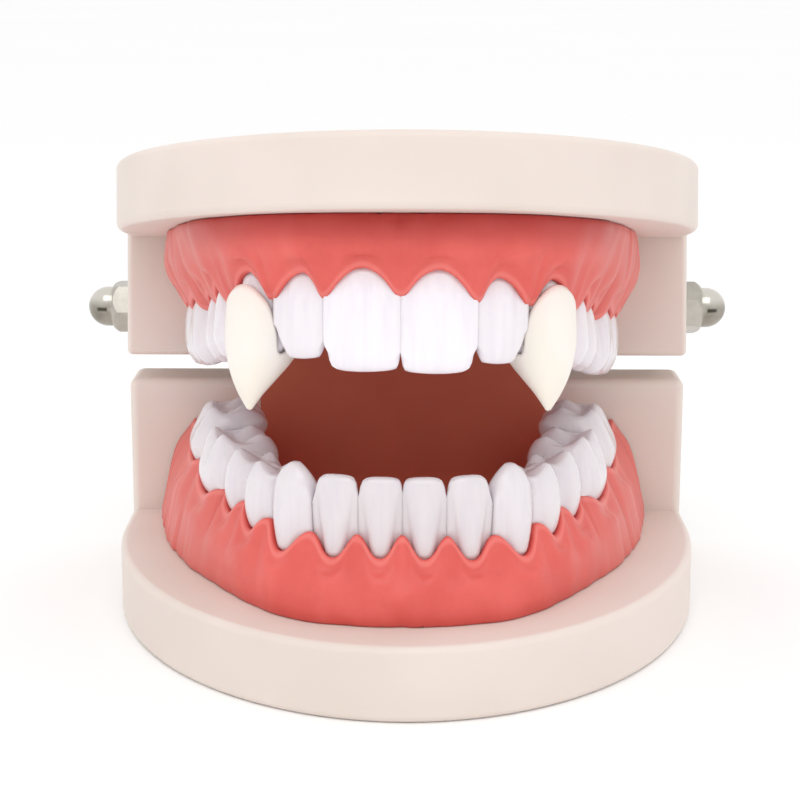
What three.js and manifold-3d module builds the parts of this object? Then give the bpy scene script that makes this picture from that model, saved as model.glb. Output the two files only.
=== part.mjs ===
// A life-size hinged dental display model, held open, with a vampire fang cap over each upper canine.
// Millimetres, +Z up, seen from the front along +Y. The origin is the middle of the underside of the base.
import * as THREE from 'three';
import { mergeVertices } from 'three/addons/utils/BufferGeometryUtils.js';
import Module from 'manifold-3d';

const wasm = await Module();
wasm.setup();

// Base plates
const plateWidth = 82.8;
const plateDepth = 80;
const lowerPlateThickness = 9.8;
const upperPlateThickness = 9.4;
const roundFrontDepth = 54;
const roundFrontSquareness = 1.96;
const plateEdge = 1;

// Rear blocks and hinge
const blockDepth = 18;
const lowerBlockHeight = 20.1;
const blockEdge = 1.4;
const rearChamferDepth = 6;
const rearChamferHeight = 9;
const hingeAboveBlock = 9.4;
const hingeToUpperPlate = 10.1;
const earDrop = 7.3;
const earEdge = 0.8;
const earRearChamfer = 5;
const tongueWidth = 44;
const openingAngle = 11;
const rodDiameter = 4;
const nutAcrossFlats = 7;
const nutHexThickness = 2.8;
const nutDomeRadius = 3;
const nutDomeLength = 3.9;
const nutBoreDepth = 3;
const nutTurn = { left: -12, right: 16 };
const rodSides = 16;
const nutSides = 12;

// How far the dentures sit off the plates' middle line
const lowerDentureShift = -0.5;
const upperDentureShift = -0.75;

// Gaps between pieces
const seatGap = 0.3;
const toothGap = 0.25;

// Dental arches, measured along the line of the tooth centres
const lowerArchHalfWidth = 26.9;
const lowerArchDepth = 48.9;
const upperArchHalfWidth = 26.5;
const upperArchDepth = 50.6;

// First molars: width along the arch, depth across it, and how high the neck and the biting edge stand above
// the plate. The other teeth follow them.
const firstMolar = {
  lower: { width: 11, depth: 10, neck: 8.4, edge: 18.2 },
  upper: { width: 10, depth: 11, neck: 10, edge: 19.4 },
};

// Gums
const upperPalateThickness = 4.2;
const gumRidge = 0.7;
const gumScallop = 2.2;
const gumFoot = { lower: 9.2, upper: 8.6 };
const gumInnerFoot = { lower: 4.4, upper: 4.2 };
const gumEndHeight = { lower: 14.2, upper: 10.6 };
const papillaRise = { lower: 2.8, upper: 3.4 };
const palateSetback = 3.4;
const palateReach = 0.97;

// Mouth lining
const liningThickness = 1.2;
const throatWallHeight = 28;
const throatSweepRadius = 6;

// Fang caps
const fangPlay = 0.5;
const fangWall = 0.7;
const fangLength = 16.8;
const fangTipOutward = 2.9;
const fangTipSideways = 0.55;

const archRows = {
  lower: [
    { out: 0, forward: 1 },
    { out: 0.2, forward: 0.994 },
    { out: 0.394, forward: 0.962 },
    { out: 0.543, forward: 0.886 },
    { out: 0.672, forward: 0.756 },
    { out: 0.777, forward: 0.62 },
    { out: 0.914, forward: 0.384 },
    { out: 0.978, forward: 0.164 },
    { out: 1, forward: 0 },
  ],
  upper: [
    { out: 0, forward: 1 },
    { out: 0.16, forward: 0.997 },
    { out: 0.323, forward: 0.983 },
    { out: 0.521, forward: 0.93 },
    { out: 0.683, forward: 0.8 },
    { out: 0.766, forward: 0.662 },
    { out: 0.826, forward: 0.527 },
    { out: 0.913, forward: 0.334 },
    { out: 0.974, forward: 0.15 },
    { out: 1, forward: 0 },
  ],
};

// One half of each arch from the middle line back, as shares of its first molar's sizes. room is the space left
// after the tooth for a fang's wall, as a share of the molar's width.
const toothRows = {
  lower: [
    { name: 'central_incisor', kind: 'incisor', width: 0.491, depth: 0.56, neck: 0.964, edge: 0.995, room: 0 },
    { name: 'lateral_incisor', kind: 'incisor', width: 0.5, depth: 0.59, neck: 0.94, edge: 1, room: 0 },
    { name: 'canine', kind: 'canine', width: 0.555, depth: 0.74, neck: 0.786, edge: 1.044, room: 0 },
    { name: 'first_premolar', kind: 'premolar', width: 0.636, depth: 0.75, neck: 0.905, edge: 0.978, room: 0 },
    { name: 'second_premolar', kind: 'premolar', width: 0.636, depth: 0.8, neck: 0.964, edge: 0.984, room: 0 },
    { name: 'first_molar', kind: 'molar', width: 1, depth: 1, neck: 1, edge: 1, room: 0 },
    { name: 'second_molar', kind: 'molar', width: 0.945, depth: 0.98, neck: 1.19, edge: 1.06, room: 0 },
  ],
  upper: [
    { name: 'central_incisor', kind: 'incisor', width: 0.88, depth: 0.636, neck: 0.67, edge: 0.99, room: 0 },
    { name: 'lateral_incisor', kind: 'incisor', width: 0.61, depth: 0.564, neck: 0.74, edge: 0.918, room: 0 },
    { name: 'canine', kind: 'canine', width: 0.72, depth: 0.727, neck: 0.73, edge: 0.995, room: 0.16 },
    { name: 'first_premolar', kind: 'premolar', width: 0.68, depth: 0.818, neck: 0.88, edge: 0.948, room: 0 },
    { name: 'second_premolar', kind: 'premolar', width: 0.66, depth: 0.818, neck: 0.96, edge: 0.969, room: 0 },
    { name: 'first_molar', kind: 'molar', width: 1, depth: 1, neck: 1, edge: 1, room: 0 },
    { name: 'second_molar', kind: 'molar', width: 0.92, depth: 0.982, neck: 1, edge: 1, room: 0 },
  ],
};

// Sections of a crown from its neck: at is a share of the crown's height, width and depth are shares of the
// tooth's, out moves the section towards the lips by a share of the depth, and dip lowers the section between
// the cusps by a share of the crown's height.
const crownRows = {
  incisor: [
    { at: 0, width: 0.8, depth: 0.9, out: 0, dip: 0 },
    { at: 0.25, width: 0.92, depth: 0.94, out: 0.01, dip: 0 },
    { at: 0.5, width: 0.98, depth: 0.76, out: 0.07, dip: 0 },
    { at: 0.75, width: 1, depth: 0.5, out: 0.14, dip: 0 },
    { at: 0.93, width: 0.97, depth: 0.32, out: 0.16, dip: 0 },
    { at: 1, width: 0.84, depth: 0.16, out: 0.15, dip: 0 },
  ],
  canine: [
    { at: 0, width: 0.8, depth: 0.9, out: 0, dip: 0 },
    { at: 0.28, width: 0.94, depth: 1, out: 0, dip: 0 },
    { at: 0.52, width: 1, depth: 0.86, out: 0.04, dip: 0 },
    { at: 0.76, width: 0.92, depth: 0.6, out: 0.09, dip: 0 },
    { at: 0.91, width: 0.56, depth: 0.34, out: 0.11, dip: 0 },
    { at: 1, width: 0.14, depth: 0.12, out: 0.09, dip: 0 },
  ],
  premolar: [
    { at: 0, width: 0.8, depth: 0.84, out: 0, dip: 0 },
    { at: 0.3, width: 0.93, depth: 0.97, out: 0.01, dip: 0 },
    { at: 0.6, width: 1, depth: 1, out: 0, dip: 0 },
    { at: 0.86, width: 0.94, depth: 0.8, out: 0, dip: 0.04 },
    { at: 1, width: 0.7, depth: 0.54, out: 0, dip: 0.2 },
    { at: 0.8, width: 0.3, depth: 0.2, out: 0, dip: 0.08 },
  ],
  molar: [
    { at: 0, width: 0.86, depth: 0.86, out: 0, dip: 0 },
    { at: 0.3, width: 0.95, depth: 0.98, out: 0.01, dip: 0 },
    { at: 0.6, width: 1, depth: 1, out: 0, dip: 0 },
    { at: 0.86, width: 0.96, depth: 0.86, out: 0, dip: 0.06 },
    { at: 1, width: 0.76, depth: 0.64, out: 0, dip: 0.2 },
    { at: 0.78, width: 0.36, depth: 0.28, out: 0, dip: 0.1 },
  ],
};
const crownSquareness = { incisor: 2.6, canine: 2.1, premolar: 2.3, molar: 2.9 };
const crownSides = { incisor: 10, canine: 12, premolar: 10, molar: 12 };
const cuspCount = { incisor: 1, canine: 1, premolar: 2, molar: 4 };
const rootDepth = 4.6;
const rootTaper = 0.72;
const socketTop = 0.62;

// How far the gum stands out from the tooth centres, foot beside the plate and body half way up, as shares of
// gumFoot. along is a share of the way from the middle of the arch to its end.
const gumRows = {
  lower: [
    { along: 0, foot: 0.64, body: 0.61 },
    { along: 0.2, foot: 0.6, body: 0.6 },
    { along: 0.36, foot: 0.65, body: 0.65 },
    { along: 0.55, foot: 0.83, body: 0.75 },
    { along: 0.8, foot: 0.95, body: 0.83 },
    { along: 1, foot: 1, body: 0.89 },
  ],
  upper: [
    { along: 0, foot: 0.65, body: 0.65 },
    { along: 0.2, foot: 0.74, body: 0.7 },
    { along: 0.36, foot: 0.93, body: 0.79 },
    { along: 0.55, foot: 1, body: 0.89 },
    { along: 0.8, foot: 0.98, body: 0.97 },
    { along: 1, foot: 0.9, body: 0.93 },
  ],
};
const gumSectionsPerTooth = 4;

// Corners of a gum section: out in halves of the tooth depth plus rolls of the gum ridge, up as a share of
// the height of the gum's margin
const gumCorners = {
  tongue: [
    { halves: -1, ridges: -2, up: 0.6 },
    { halves: -0.93, ridges: -1, up: 1 },
  ],
  lips: [
    { halves: 0.93, ridges: 1, up: 1 },
    { halves: 1, ridges: 1.6, up: 0.82 },
  ],
};
const gumBodyHeight = 0.5;

// Sections of a fang cap. up is a share of its length above the canine's neck. mesial and distal are how far it
// reaches towards the front teeth and the back teeth, front and back how far towards the lips and the tongue,
// as shares of the canine's half width and half depth with the cap's play and wall round them.
const fangRows = [
  { up: 0.04, mesial: 0.81, distal: 0.94, front: 0.99, back: 0.81 },
  { up: 0.2, mesial: 0.92, distal: 1.06, front: 1.07, back: 0.9 },
  { up: 0.42, mesial: 0.94, distal: 1.12, front: 1.09, back: 0.87 },
  { up: 0.54, mesial: 0.86, distal: 1.05, front: 1.07, back: 0.72 },
  { up: 0.66, mesial: 0.71, distal: 0.88, front: 1.02, back: 0.43 },
  { up: 0.76, mesial: 0.55, distal: 0.66, front: 0.95, back: 0.13 },
  { up: 0.87, mesial: 0.385, distal: 0.395, front: 0.83, back: -0.21 },
  { up: 0.95, mesial: 0.19, distal: 0.19, front: 0.7, back: -0.41 },
];
// The cap's open rim, as shares of its length above the neck, lips, far side, tongue and near side. The rim
// climbs to its near side late, so a power makes that step steep.
const fangRim = { front: 0.055, distal: 0.28, back: 0.36, mesial: 0.54 };
const fangRimPower = { front: 2, distal: 2, back: 2, mesial: 3 };
const fangSides = 14;
// Where a fang cap has its rings, as shares of the way from its rim to its tip outside, and to its end inside
const fangLevels = {
  outside: [0, 0.2, 0.4, 0.58, 0.74, 0.9],
  inside: [0.85, 0.6, 0.3, 0],
  clearance: [0, 0.2, 0.4],
};

const cream = { color: 0xe8ded4, roughness: 0.55, metalness: 0 };
const gumPink = { color: 0xe76a66, roughness: 0.35, metalness: 0 };
const toothWhite = { color: 0xf4f0fa, roughness: 0.2, metalness: 0 };
const fangIvory = { color: 0xfbf3e2, roughness: 0.25, metalness: 0 };
const liningBrown = { color: 0x7d3a2a, roughness: 0.6, metalness: 0 };
const nickel = { color: 0xb9b6b0, roughness: 0.25, metalness: 1 };

// Places worked out from the sizes above
const plateFront = -plateDepth / 2;
const plateRear = plateDepth / 2;
const blockFace = plateRear - blockDepth;
const lowerBlockTop = lowerPlateThickness + lowerBlockHeight;
const hingeY = blockFace + blockDepth / 2;
const hingeZ = lowerBlockTop + hingeAboveBlock;
const blockReach = blockDepth / 2;
const rodHole = rodDiameter / 2 + seatGap;

function toSolid(geometry) {
  const bare = new THREE.BufferGeometry();
  bare.setAttribute('position', geometry.getAttribute('position'));
  if (geometry.index) bare.setIndex(geometry.index);
  const merged = mergeVertices(bare, 1e-4);
  const mesh = new wasm.Mesh({
    numProp: 3,
    vertProperties: new Float32Array(merged.attributes.position.array),
    triVerts: new Uint32Array(merged.index.array),
  });
  return new wasm.Manifold(mesh);
}

function toGeometry(solid) {
  const { vertProperties, triVerts } = solid.getMesh();
  const geometry = new THREE.BufferGeometry();
  geometry.setAttribute('position', new THREE.BufferAttribute(new Float32Array(vertProperties), 3));
  geometry.setIndex(new THREE.BufferAttribute(new Uint32Array(triVerts), 1));
  return geometry;
}

function piece(name, geometry, finish) {
  const faceted = geometry.index ? geometry.toNonIndexed() : geometry;
  faceted.computeVertexNormals();
  const mesh = new THREE.Mesh(faceted, new THREE.MeshStandardMaterial(finish));
  mesh.name = name;
  return mesh;
}

// Closes a stack of rings with the same number of points into one body; the ends come to a point.
function loft(rings, startPoint, endPoint) {
  const sides = rings[0].length;
  const points = [startPoint, ...rings.flat(), endPoint];
  const at = (ring, side) => 1 + ring * sides + (side % sides);
  const last = points.length - 1;
  const faces = [];
  for (let side = 0; side < sides; side += 1) {
    faces.push(0, at(0, side + 1), at(0, side));
    for (let ring = 0; ring + 1 < rings.length; ring += 1) {
      faces.push(at(ring, side), at(ring, side + 1), at(ring + 1, side + 1));
      faces.push(at(ring, side), at(ring + 1, side + 1), at(ring + 1, side));
    }
    faces.push(last, at(rings.length - 1, side), at(rings.length - 1, side + 1));
  }
  const geometry = new THREE.BufferGeometry().setFromPoints(points);
  geometry.setIndex(faces);
  return geometry;
}

function centreOf(ring) {
  const sum = ring.reduce((total, point) => total.add(point), new THREE.Vector3());
  return sum.divideScalar(ring.length);
}

function cappedLoft(rings) {
  return loft(rings, centreOf(rings[0]), centreOf(rings[rings.length - 1]));
}

// A value read between the rows of a table, whose key column rises
function between(rows, key, column, value) {
  const next = rows.findIndex((row) => row[key] >= value);
  if (next <= 0) return rows[next === 0 ? 0 : rows.length - 1][column];
  const low = rows[next - 1];
  const high = rows[next];
  const share = (value - low[key]) / (high[key] - low[key]);
  return low[column] + (high[column] - low[column]) * share;
}

// The line of the tooth centres, measured from the middle; x is right, y is towards the block's face
function makeArch(rows, halfWidth, depth) {
  const points = rows.map((row) => new THREE.Vector3(row.out * halfWidth, -row.forward * depth, 0));
  const mirrored = points.slice(1).map((point) => new THREE.Vector3(-point.x, point.y, 0));
  const curve = new THREE.CatmullRomCurve3([...mirrored.reverse(), ...points], false, 'centripetal');
  curve.arcLengthDivisions = 400;
  const length = curve.getLength() / 2;
  const place = (distance) => {
    const share = THREE.MathUtils.clamp(0.5 + distance / (2 * length), 0, 1);
    const point = curve.getPointAt(share);
    const tangent = curve.getTangentAt(share);
    return { point, outward: new THREE.Vector3(tangent.y, -tangent.x, 0) };
  };
  return { length, place };
}

// Both sides of an arch as a list of teeth from the left end to the right, with their places
function layTeeth(jaw, arch) {
  const molar = firstMolar[jaw];
  const half = [];
  let distance = 0;
  for (const row of toothRows[jaw]) {
    const width = row.width * molar.width;
    const depth = row.depth * molar.depth;
    const neck = row.neck * molar.neck;
    const edge = row.edge * molar.edge;
    half.push({ ...row, width, depth, neck, edge, middle: distance + width / 2 });
    distance += width + row.room * molar.width;
  }
  const left = half.map((tooth) => ({ ...tooth, side: -1, middle: -tooth.middle })).reverse();
  const right = half.map((tooth) => ({ ...tooth, side: 1 }));
  return [...left, ...right].map((tooth) => {
    const { point, outward } = arch.place(tooth.middle);
    const turn = Math.atan2(outward.x, -outward.y);
    return { ...tooth, point, turn };
  });
}

function superellipse(angle, halfWidth, halfDepth, squareness) {
  const shape = (value) => Math.sign(value) * Math.abs(value) ** (2 / squareness);
  return new THREE.Vector2(halfWidth * shape(Math.cos(angle)), halfDepth * shape(Math.sin(angle)));
}

// How high the crown's rim stands at an angle around it, from 0 between cusps to 1 on a cusp
function cuspShare(kind, angle) {
  if (cuspCount[kind] === 4) return Math.abs(Math.sin(2 * angle));
  if (cuspCount[kind] === 2) return Math.abs(Math.sin(angle));
  return 1;
}

function crownRing(tooth, row, grow) {
  const crown = tooth.edge - tooth.neck;
  const halfWidth = (row.width * (tooth.width - toothGap)) / 2 + grow;
  const halfDepth = (row.depth * tooth.depth) / 2 + grow;
  const ring = [];
  for (let side = 0; side < crownSides[tooth.kind]; side += 1) {
    const angle = (side / crownSides[tooth.kind]) * 2 * Math.PI;
    const flat = superellipse(angle, halfWidth, halfDepth, crownSquareness[tooth.kind]);
    const dip = row.dip * (1 - cuspShare(tooth.kind, angle));
    const up = (row.at - dip) * crown;
    ring.push(new THREE.Vector3(flat.x, flat.y - row.out * tooth.depth, up));
  }
  return ring;
}

// A short tapering peg below the neck, and the crown's rows above it
function standOnPeg(tooth, rows, grow) {
  const pegRow = { ...rows[0], width: rows[0].width * rootTaper, depth: rows[0].depth * rootTaper };
  const peg = crownRing(tooth, pegRow, grow);
  for (const point of peg) point.z = -rootDepth - grow;
  return cappedLoft([peg, ...rows.map((row) => crownRing(tooth, row, grow))]);
}

// A tooth stands on its neck at the origin, lips towards -y.
function makeTooth(tooth) {
  return standOnPeg(tooth, crownRows[tooth.kind], 0);
}

// The hole that a tooth needs: its own lower part, grown by the seat gap
function makeSocket(tooth) {
  const rows = crownRows[tooth.kind].filter((row) => row.at <= socketTop && row.dip === 0);
  return standOnPeg(tooth, rows, seatGap);
}

function toothPlace(tooth) {
  const turn = new THREE.Matrix4().makeRotationZ(tooth.turn);
  return turn.setPosition(tooth.point.x, tooth.point.y, tooth.neck);
}

// A measure of the teeth read along the arch, so that the gum changes smoothly from tooth to tooth
function alongTeeth(teeth, column, distance) {
  return between(teeth, 'middle', column, THREE.MathUtils.clamp(distance, teeth[0].middle, -teeth[0].middle));
}

// How far inside the tooth centres the gum's inner foot lies
function innerFoot(jaw, teeth, distance) {
  return alongTeeth(teeth, 'depth', distance) / 2 + gumInnerFoot[jaw];
}

// One section of a gum across the arch, from the plate inside, over the teeth, to the plate outside. margin is
// the height of its edge round the teeth.
function gumSection(jaw, arch, teeth, distance, margin) {
  const { point, outward } = arch.place(distance);
  const along = Math.abs(distance) / arch.length;
  const foot = between(gumRows[jaw], 'along', 'foot', along) * gumFoot[jaw];
  const body = between(gumRows[jaw], 'along', 'body', along) * gumFoot[jaw];
  const halfDepth = alongTeeth(teeth, 'depth', distance) / 2;
  const corner = ({ halves, ridges, up }) => [halves * halfDepth + ridges * gumRidge, up * margin];
  const corners = [
    [-innerFoot(jaw, teeth, distance), seatGap],
    ...gumCorners.tongue.map(corner),
    ...gumCorners.lips.map(corner),
    [body, gumBodyHeight * margin],
    [foot, seatGap],
  ];
  return corners.map(([out, up]) => {
    const spot = point.clone().addScaledVector(outward, out);
    return new THREE.Vector3(spot.x, spot.y, up);
  });
}

// The margin's height dips at each tooth's neck and rises to a papilla between two teeth.
function makeGumHorseshoe(jaw, arch, teeth) {
  const section = (distance, margin) => gumSection(jaw, arch, teeth, distance, margin);
  const sections = [section(-arch.length, gumEndHeight[jaw])];
  for (const tooth of teeth) {
    for (let step = 0; step <= gumSectionsPerTooth; step += 1) {
      const share = step / gumSectionsPerTooth - 0.5;
      const distance = tooth.middle + share * tooth.width;
      const rise = Math.abs(2 * share) ** gumScallop * papillaRise[jaw];
      const isLast = tooth === teeth[teeth.length - 1];
      if (share < 0.5 || isLast) sections.push(section(distance, alongTeeth(teeth, 'neck', distance) + rise));
    }
  }
  sections.push(section(arch.length, gumEndHeight[jaw]));
  return toSolid(cappedLoft(sections));
}

function cutSockets(gum, teeth) {
  let cut = gum;
  for (const tooth of teeth) {
    cut = cut.subtract(toSolid(makeSocket(tooth).applyMatrix4(toothPlace(tooth))));
  }
  return cut;
}

function cutFangClearances(gum, teeth) {
  let cut = gum;
  for (const canine of teeth.filter((tooth) => tooth.name === 'canine')) {
    cut = cut.subtract(toSolid(makeFangClearance(canine).applyMatrix4(toothPlace(canine))));
  }
  return cut;
}

function outlineShape(points) {
  return new THREE.Shape(points.map(([x, y]) => new THREE.Vector2(x, y)));
}

// The D-shaped outline of a plate seen from above: a rounded front and straight sides
function plateOutline(halfWidth) {
  const steps = 30;
  const points = [];
  for (let step = 0; step <= steps; step += 1) {
    const angle = Math.PI + (step / steps) * Math.PI;
    const arc = superellipse(angle, halfWidth, roundFrontDepth, roundFrontSquareness);
    points.push([arc.x, plateFront + roundFrontDepth + arc.y]);
  }
  points.push([halfWidth, plateRear], [-halfWidth, plateRear]);
  return outlineShape(points);
}

function makePlate(halfWidth, thickness) {
  const geometry = new THREE.ExtrudeGeometry(plateOutline(halfWidth), {
    depth: thickness - 2 * plateEdge,
    bevelThickness: plateEdge,
    bevelSize: plateEdge,
    bevelOffset: -plateEdge,
    bevelSegments: 1,
    steps: 1,
  });
  return toSolid(geometry.translate(0, 0, plateEdge));
}

// Extrudes a profile of (y, z) points along x, with its end edges cut back
function makeBlock(profile, fromX, toX, edge) {
  const geometry = new THREE.ExtrudeGeometry(outlineShape(profile), {
    depth: toX - fromX - 2 * edge,
    bevelEnabled: edge > 0,
    bevelThickness: edge,
    bevelSize: edge,
    bevelOffset: -edge,
    bevelSegments: 1,
    steps: 1,
  });
  const acrossX = new THREE.Matrix4().makeBasis(
    new THREE.Vector3(0, 1, 0),
    new THREE.Vector3(0, 0, 1),
    new THREE.Vector3(1, 0, 0),
  );
  geometry.translate(0, 0, fromX + edge);
  return toSolid(geometry.applyMatrix4(acrossX));
}

function rodAlongX(radius, length, y, z) {
  const geometry = new THREE.CylinderGeometry(radius, radius, length, rodSides);
  return toSolid(geometry.rotateZ(Math.PI / 2).translate(0, y, z));
}

function makeLowerBase() {
  const halfWidth = plateWidth / 2;
  const inPlate = lowerPlateThickness / 2;
  const blockProfile = [
    [blockFace, inPlate],
    [plateRear, inPlate],
    [plateRear, lowerBlockTop - rearChamferHeight],
    [plateRear - rearChamferDepth, lowerBlockTop],
    [blockFace, lowerBlockTop],
  ];
  const tongueProfile = [[blockFace, inPlate]];
  tongueProfile.push([plateRear, inPlate]);
  const steps = 12;
  for (let step = 0; step <= steps; step += 1) {
    const angle = (step / steps) * Math.PI;
    tongueProfile.push([hingeY + blockReach * Math.cos(angle), hingeZ + blockReach * Math.sin(angle)]);
  }
  const tongueHalf = tongueWidth / 2;
  return makePlate(halfWidth, lowerPlateThickness)
    .add(makeBlock(blockProfile, -halfWidth, halfWidth, blockEdge))
    .add(makeBlock(tongueProfile, -tongueHalf, tongueHalf, seatGap))
    .subtract(rodAlongX(rodHole, 2 * plateWidth, hingeY, hingeZ));
}

// The upper jaw's own frame has its origin on the hinge's axis, so its plate lies above the origin.
function makeUpperBase() {
  const halfWidth = plateWidth / 2 - seatGap;
  const plate = makePlate(halfWidth, upperPlateThickness).translate([0, -hingeY, hingeToUpperPlate]);
  const inPlate = hingeToUpperPlate + upperPlateThickness / 2;
  const earProfile = [
    [-blockReach, -earDrop],
    [blockReach - earRearChamfer, -earDrop],
    [blockReach, earRearChamfer - earDrop],
    [blockReach, inPlate],
    [-blockReach, inPlate],
  ];
  const inner = tongueWidth / 2 + seatGap;
  const outer = plateWidth / 2;
  const leftEar = makeBlock(earProfile, -outer, -inner, earEdge);
  const rightEar = makeBlock(earProfile, inner, outer, earEdge);
  return plate.add(leftEar).add(rightEar).subtract(rodAlongX(rodHole, 2 * plateWidth, 0, 0));
}

// The flat palate inside the upper arch: the arch's own inner line, closed across the back
function makePalate(arch) {
  const steps = 20;
  const points = [];
  for (let step = 0; step <= steps; step += 1) {
    const { point } = arch.place((2 * step / steps - 1) * palateReach * arch.length);
    points.push([point.x, Math.min(point.y, -palateSetback)]);
  }
  const geometry = new THREE.ExtrudeGeometry(outlineShape(points), {
    depth: upperPalateThickness,
    bevelEnabled: false,
    steps: 1,
  });
  return toSolid(geometry.translate(0, 0, seatGap));
}

// What a gum leaves free: the block's face, and the notch for the mouth lining between the ears
function makeRearClearance(notchDepth, middle) {
  const height = plateDepth;
  const behind = new THREE.BoxGeometry(plateWidth * 2, blockDepth, height);
  behind.translate(0, blockDepth / 2 - seatGap, 0);
  const notch = new THREE.BoxGeometry(tongueWidth + 2 * seatGap, blockDepth, height);
  notch.translate(middle, blockDepth / 2 - notchDepth, 0);
  return toSolid(behind).add(toSolid(notch));
}

function makeGum(jaw, arch, teeth) {
  const lower = jaw === 'lower';
  const body = makeGumHorseshoe(jaw, arch, teeth);
  const gum = lower ? body : body.add(makePalate(arch));
  const notchDepth = lower ? liningThickness + 2 * seatGap : liningThickness + 4 * seatGap;
  const middle = lower ? -lowerDentureShift : upperDentureShift;
  const trimmed = cutSockets(gum.subtract(makeRearClearance(notchDepth, middle)), teeth);
  return lower ? trimmed : cutFangClearances(trimmed, teeth);
}

// The room inside the lower gum's inner foot, open towards the block
function makeMouthRoom(arch, teeth) {
  const steps = 28;
  const points = [];
  for (let step = 0; step <= steps; step += 1) {
    const distance = (step / steps - 0.5) * 2 * arch.length;
    const { point, outward } = arch.place(distance);
    const inside = innerFoot('lower', teeth, distance) + seatGap;
    const x = lowerDentureShift + point.x - outward.x * inside;
    points.push([x, blockFace + point.y - outward.y * inside]);
  }
  const geometry = new THREE.ExtrudeGeometry(outlineShape(points), {
    depth: throatWallHeight,
    bevelEnabled: false,
    steps: 1,
  });
  return toSolid(geometry.translate(0, 0, lowerPlateThickness));
}

// A sheet that lies inside the lower arch and sweeps up the block's face behind it
function makeLining(arch, teeth) {
  const wallBack = blockFace - seatGap;
  const wallFront = wallBack - liningThickness;
  const floorZ = lowerPlateThickness + seatGap;
  const frontY = blockFace - lowerArchDepth;
  const steps = 6;
  const sweep = (radius) => {
    const points = [];
    for (let step = 0; step <= steps; step += 1) {
      const angle = (step / steps) * (Math.PI / 2);
      const y = wallBack - throatSweepRadius + radius * Math.sin(angle);
      const z = floorZ + throatSweepRadius - radius * Math.cos(angle);
      points.push([y, z]);
    }
    return points;
  };
  const profile = [
    [frontY, floorZ],
    ...sweep(throatSweepRadius),
    [wallBack, floorZ + throatWallHeight],
    [wallFront, floorZ + throatWallHeight],
    ...sweep(throatSweepRadius - liningThickness).reverse(),
    [frontY, floorZ + liningThickness],
  ];
  const width = tongueWidth - 2 * seatGap;
  const sheet = makeBlock(profile, -width / 2, width / 2, 0);
  const wallRoom = new THREE.BoxGeometry(width, liningThickness, 2 * throatWallHeight);
  wallRoom.translate(0, wallBack - liningThickness / 2, floorZ + throatWallHeight);
  return sheet.intersect(makeMouthRoom(arch, teeth).add(toSolid(wallRoom)));
}

function rimShare(angle, side) {
  const towards = {
    front: -Math.sin(angle),
    distal: Math.cos(angle) * side,
    back: Math.sin(angle),
    mesial: -Math.cos(angle) * side,
  };
  let share = 0;
  for (const way of Object.keys(fangRim)) {
    share += Math.max(0, towards[way]) ** fangRimPower[way] * fangRim[way];
  }
  return share;
}

// A ring around a fang cap, share of the way from its open rim to its tip, which leans sideways as it goes
function fangOutsideRing(canine, share, grow) {
  const halfWidth = canine.width / 2 + fangPlay + fangWall;
  const halfDepth = canine.depth / 2 + fangPlay + fangWall;
  const ring = [];
  for (let side = 0; side < fangSides; side += 1) {
    const angle = (side / fangSides) * 2 * Math.PI;
    const rim = rimShare(angle, canine.side) * fangLength - grow;
    const up = rim + (fangLength - rim) * share;
    const at = up / fangLength;
    const mesial = between(fangRows, 'up', 'mesial', at) * halfWidth + grow;
    const distal = between(fangRows, 'up', 'distal', at) * halfWidth + grow;
    const front = between(fangRows, 'up', 'front', at) * halfDepth + grow;
    const back = between(fangRows, 'up', 'back', at) * halfDepth + grow;
    const flat = superellipse(angle, (mesial + distal) / 2, (front + back) / 2, crownSquareness.canine);
    const across = (canine.side * (distal - mesial)) / 2 + fangTipSideways * at ** 3;
    ring.push(new THREE.Vector3(flat.x + across, flat.y - (front - back) / 2, up));
  }
  return ring;
}

// A ring around the hollow of a fang cap, which is the canine grown by the cap's play
function fangInsideRing(canine, share) {
  const crown = canine.edge - canine.neck;
  const rows = crownRows.canine;
  const ring = [];
  for (let side = 0; side < fangSides; side += 1) {
    const angle = (side / fangSides) * 2 * Math.PI;
    const rim = rimShare(angle, canine.side) * fangLength;
    const up = rim + (crown - rim) * share;
    const at = up / crown;
    const halfWidth = (between(rows, 'at', 'width', at) * (canine.width - toothGap)) / 2 + fangPlay;
    const halfDepth = (between(rows, 'at', 'depth', at) * canine.depth) / 2 + fangPlay;
    const out = between(rows, 'at', 'out', at) * canine.depth;
    const flat = superellipse(angle, halfWidth, halfDepth, crownSquareness.canine);
    ring.push(new THREE.Vector3(flat.x, flat.y - out, up));
  }
  return ring;
}

// A hollow cap: its skin runs from the hollow's end over the open rim to the tip.
function makeFang(canine) {
  const outside = fangLevels.outside.map((share) => fangOutsideRing(canine, share, 0));
  const inside = fangLevels.inside.map((share) => fangInsideRing(canine, share));
  const hollowEnd = centreOf(inside[0]);
  hollowEnd.z = canine.edge - canine.neck + fangPlay;
  const tip = new THREE.Vector3(fangTipSideways, -fangTipOutward, fangLength);
  return loft([...inside, ...outside], hollowEnd, tip);
}

// What a fang cap needs free in the gum beside it
function makeFangClearance(canine) {
  const rings = fangLevels.clearance.map((share) => fangOutsideRing(canine, share, seatGap));
  const lowest = new THREE.Vector3(0, 0, fangRim.front * fangLength - seatGap);
  return loft(rings, lowest, centreOf(rings[rings.length - 1]));
}

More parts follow.
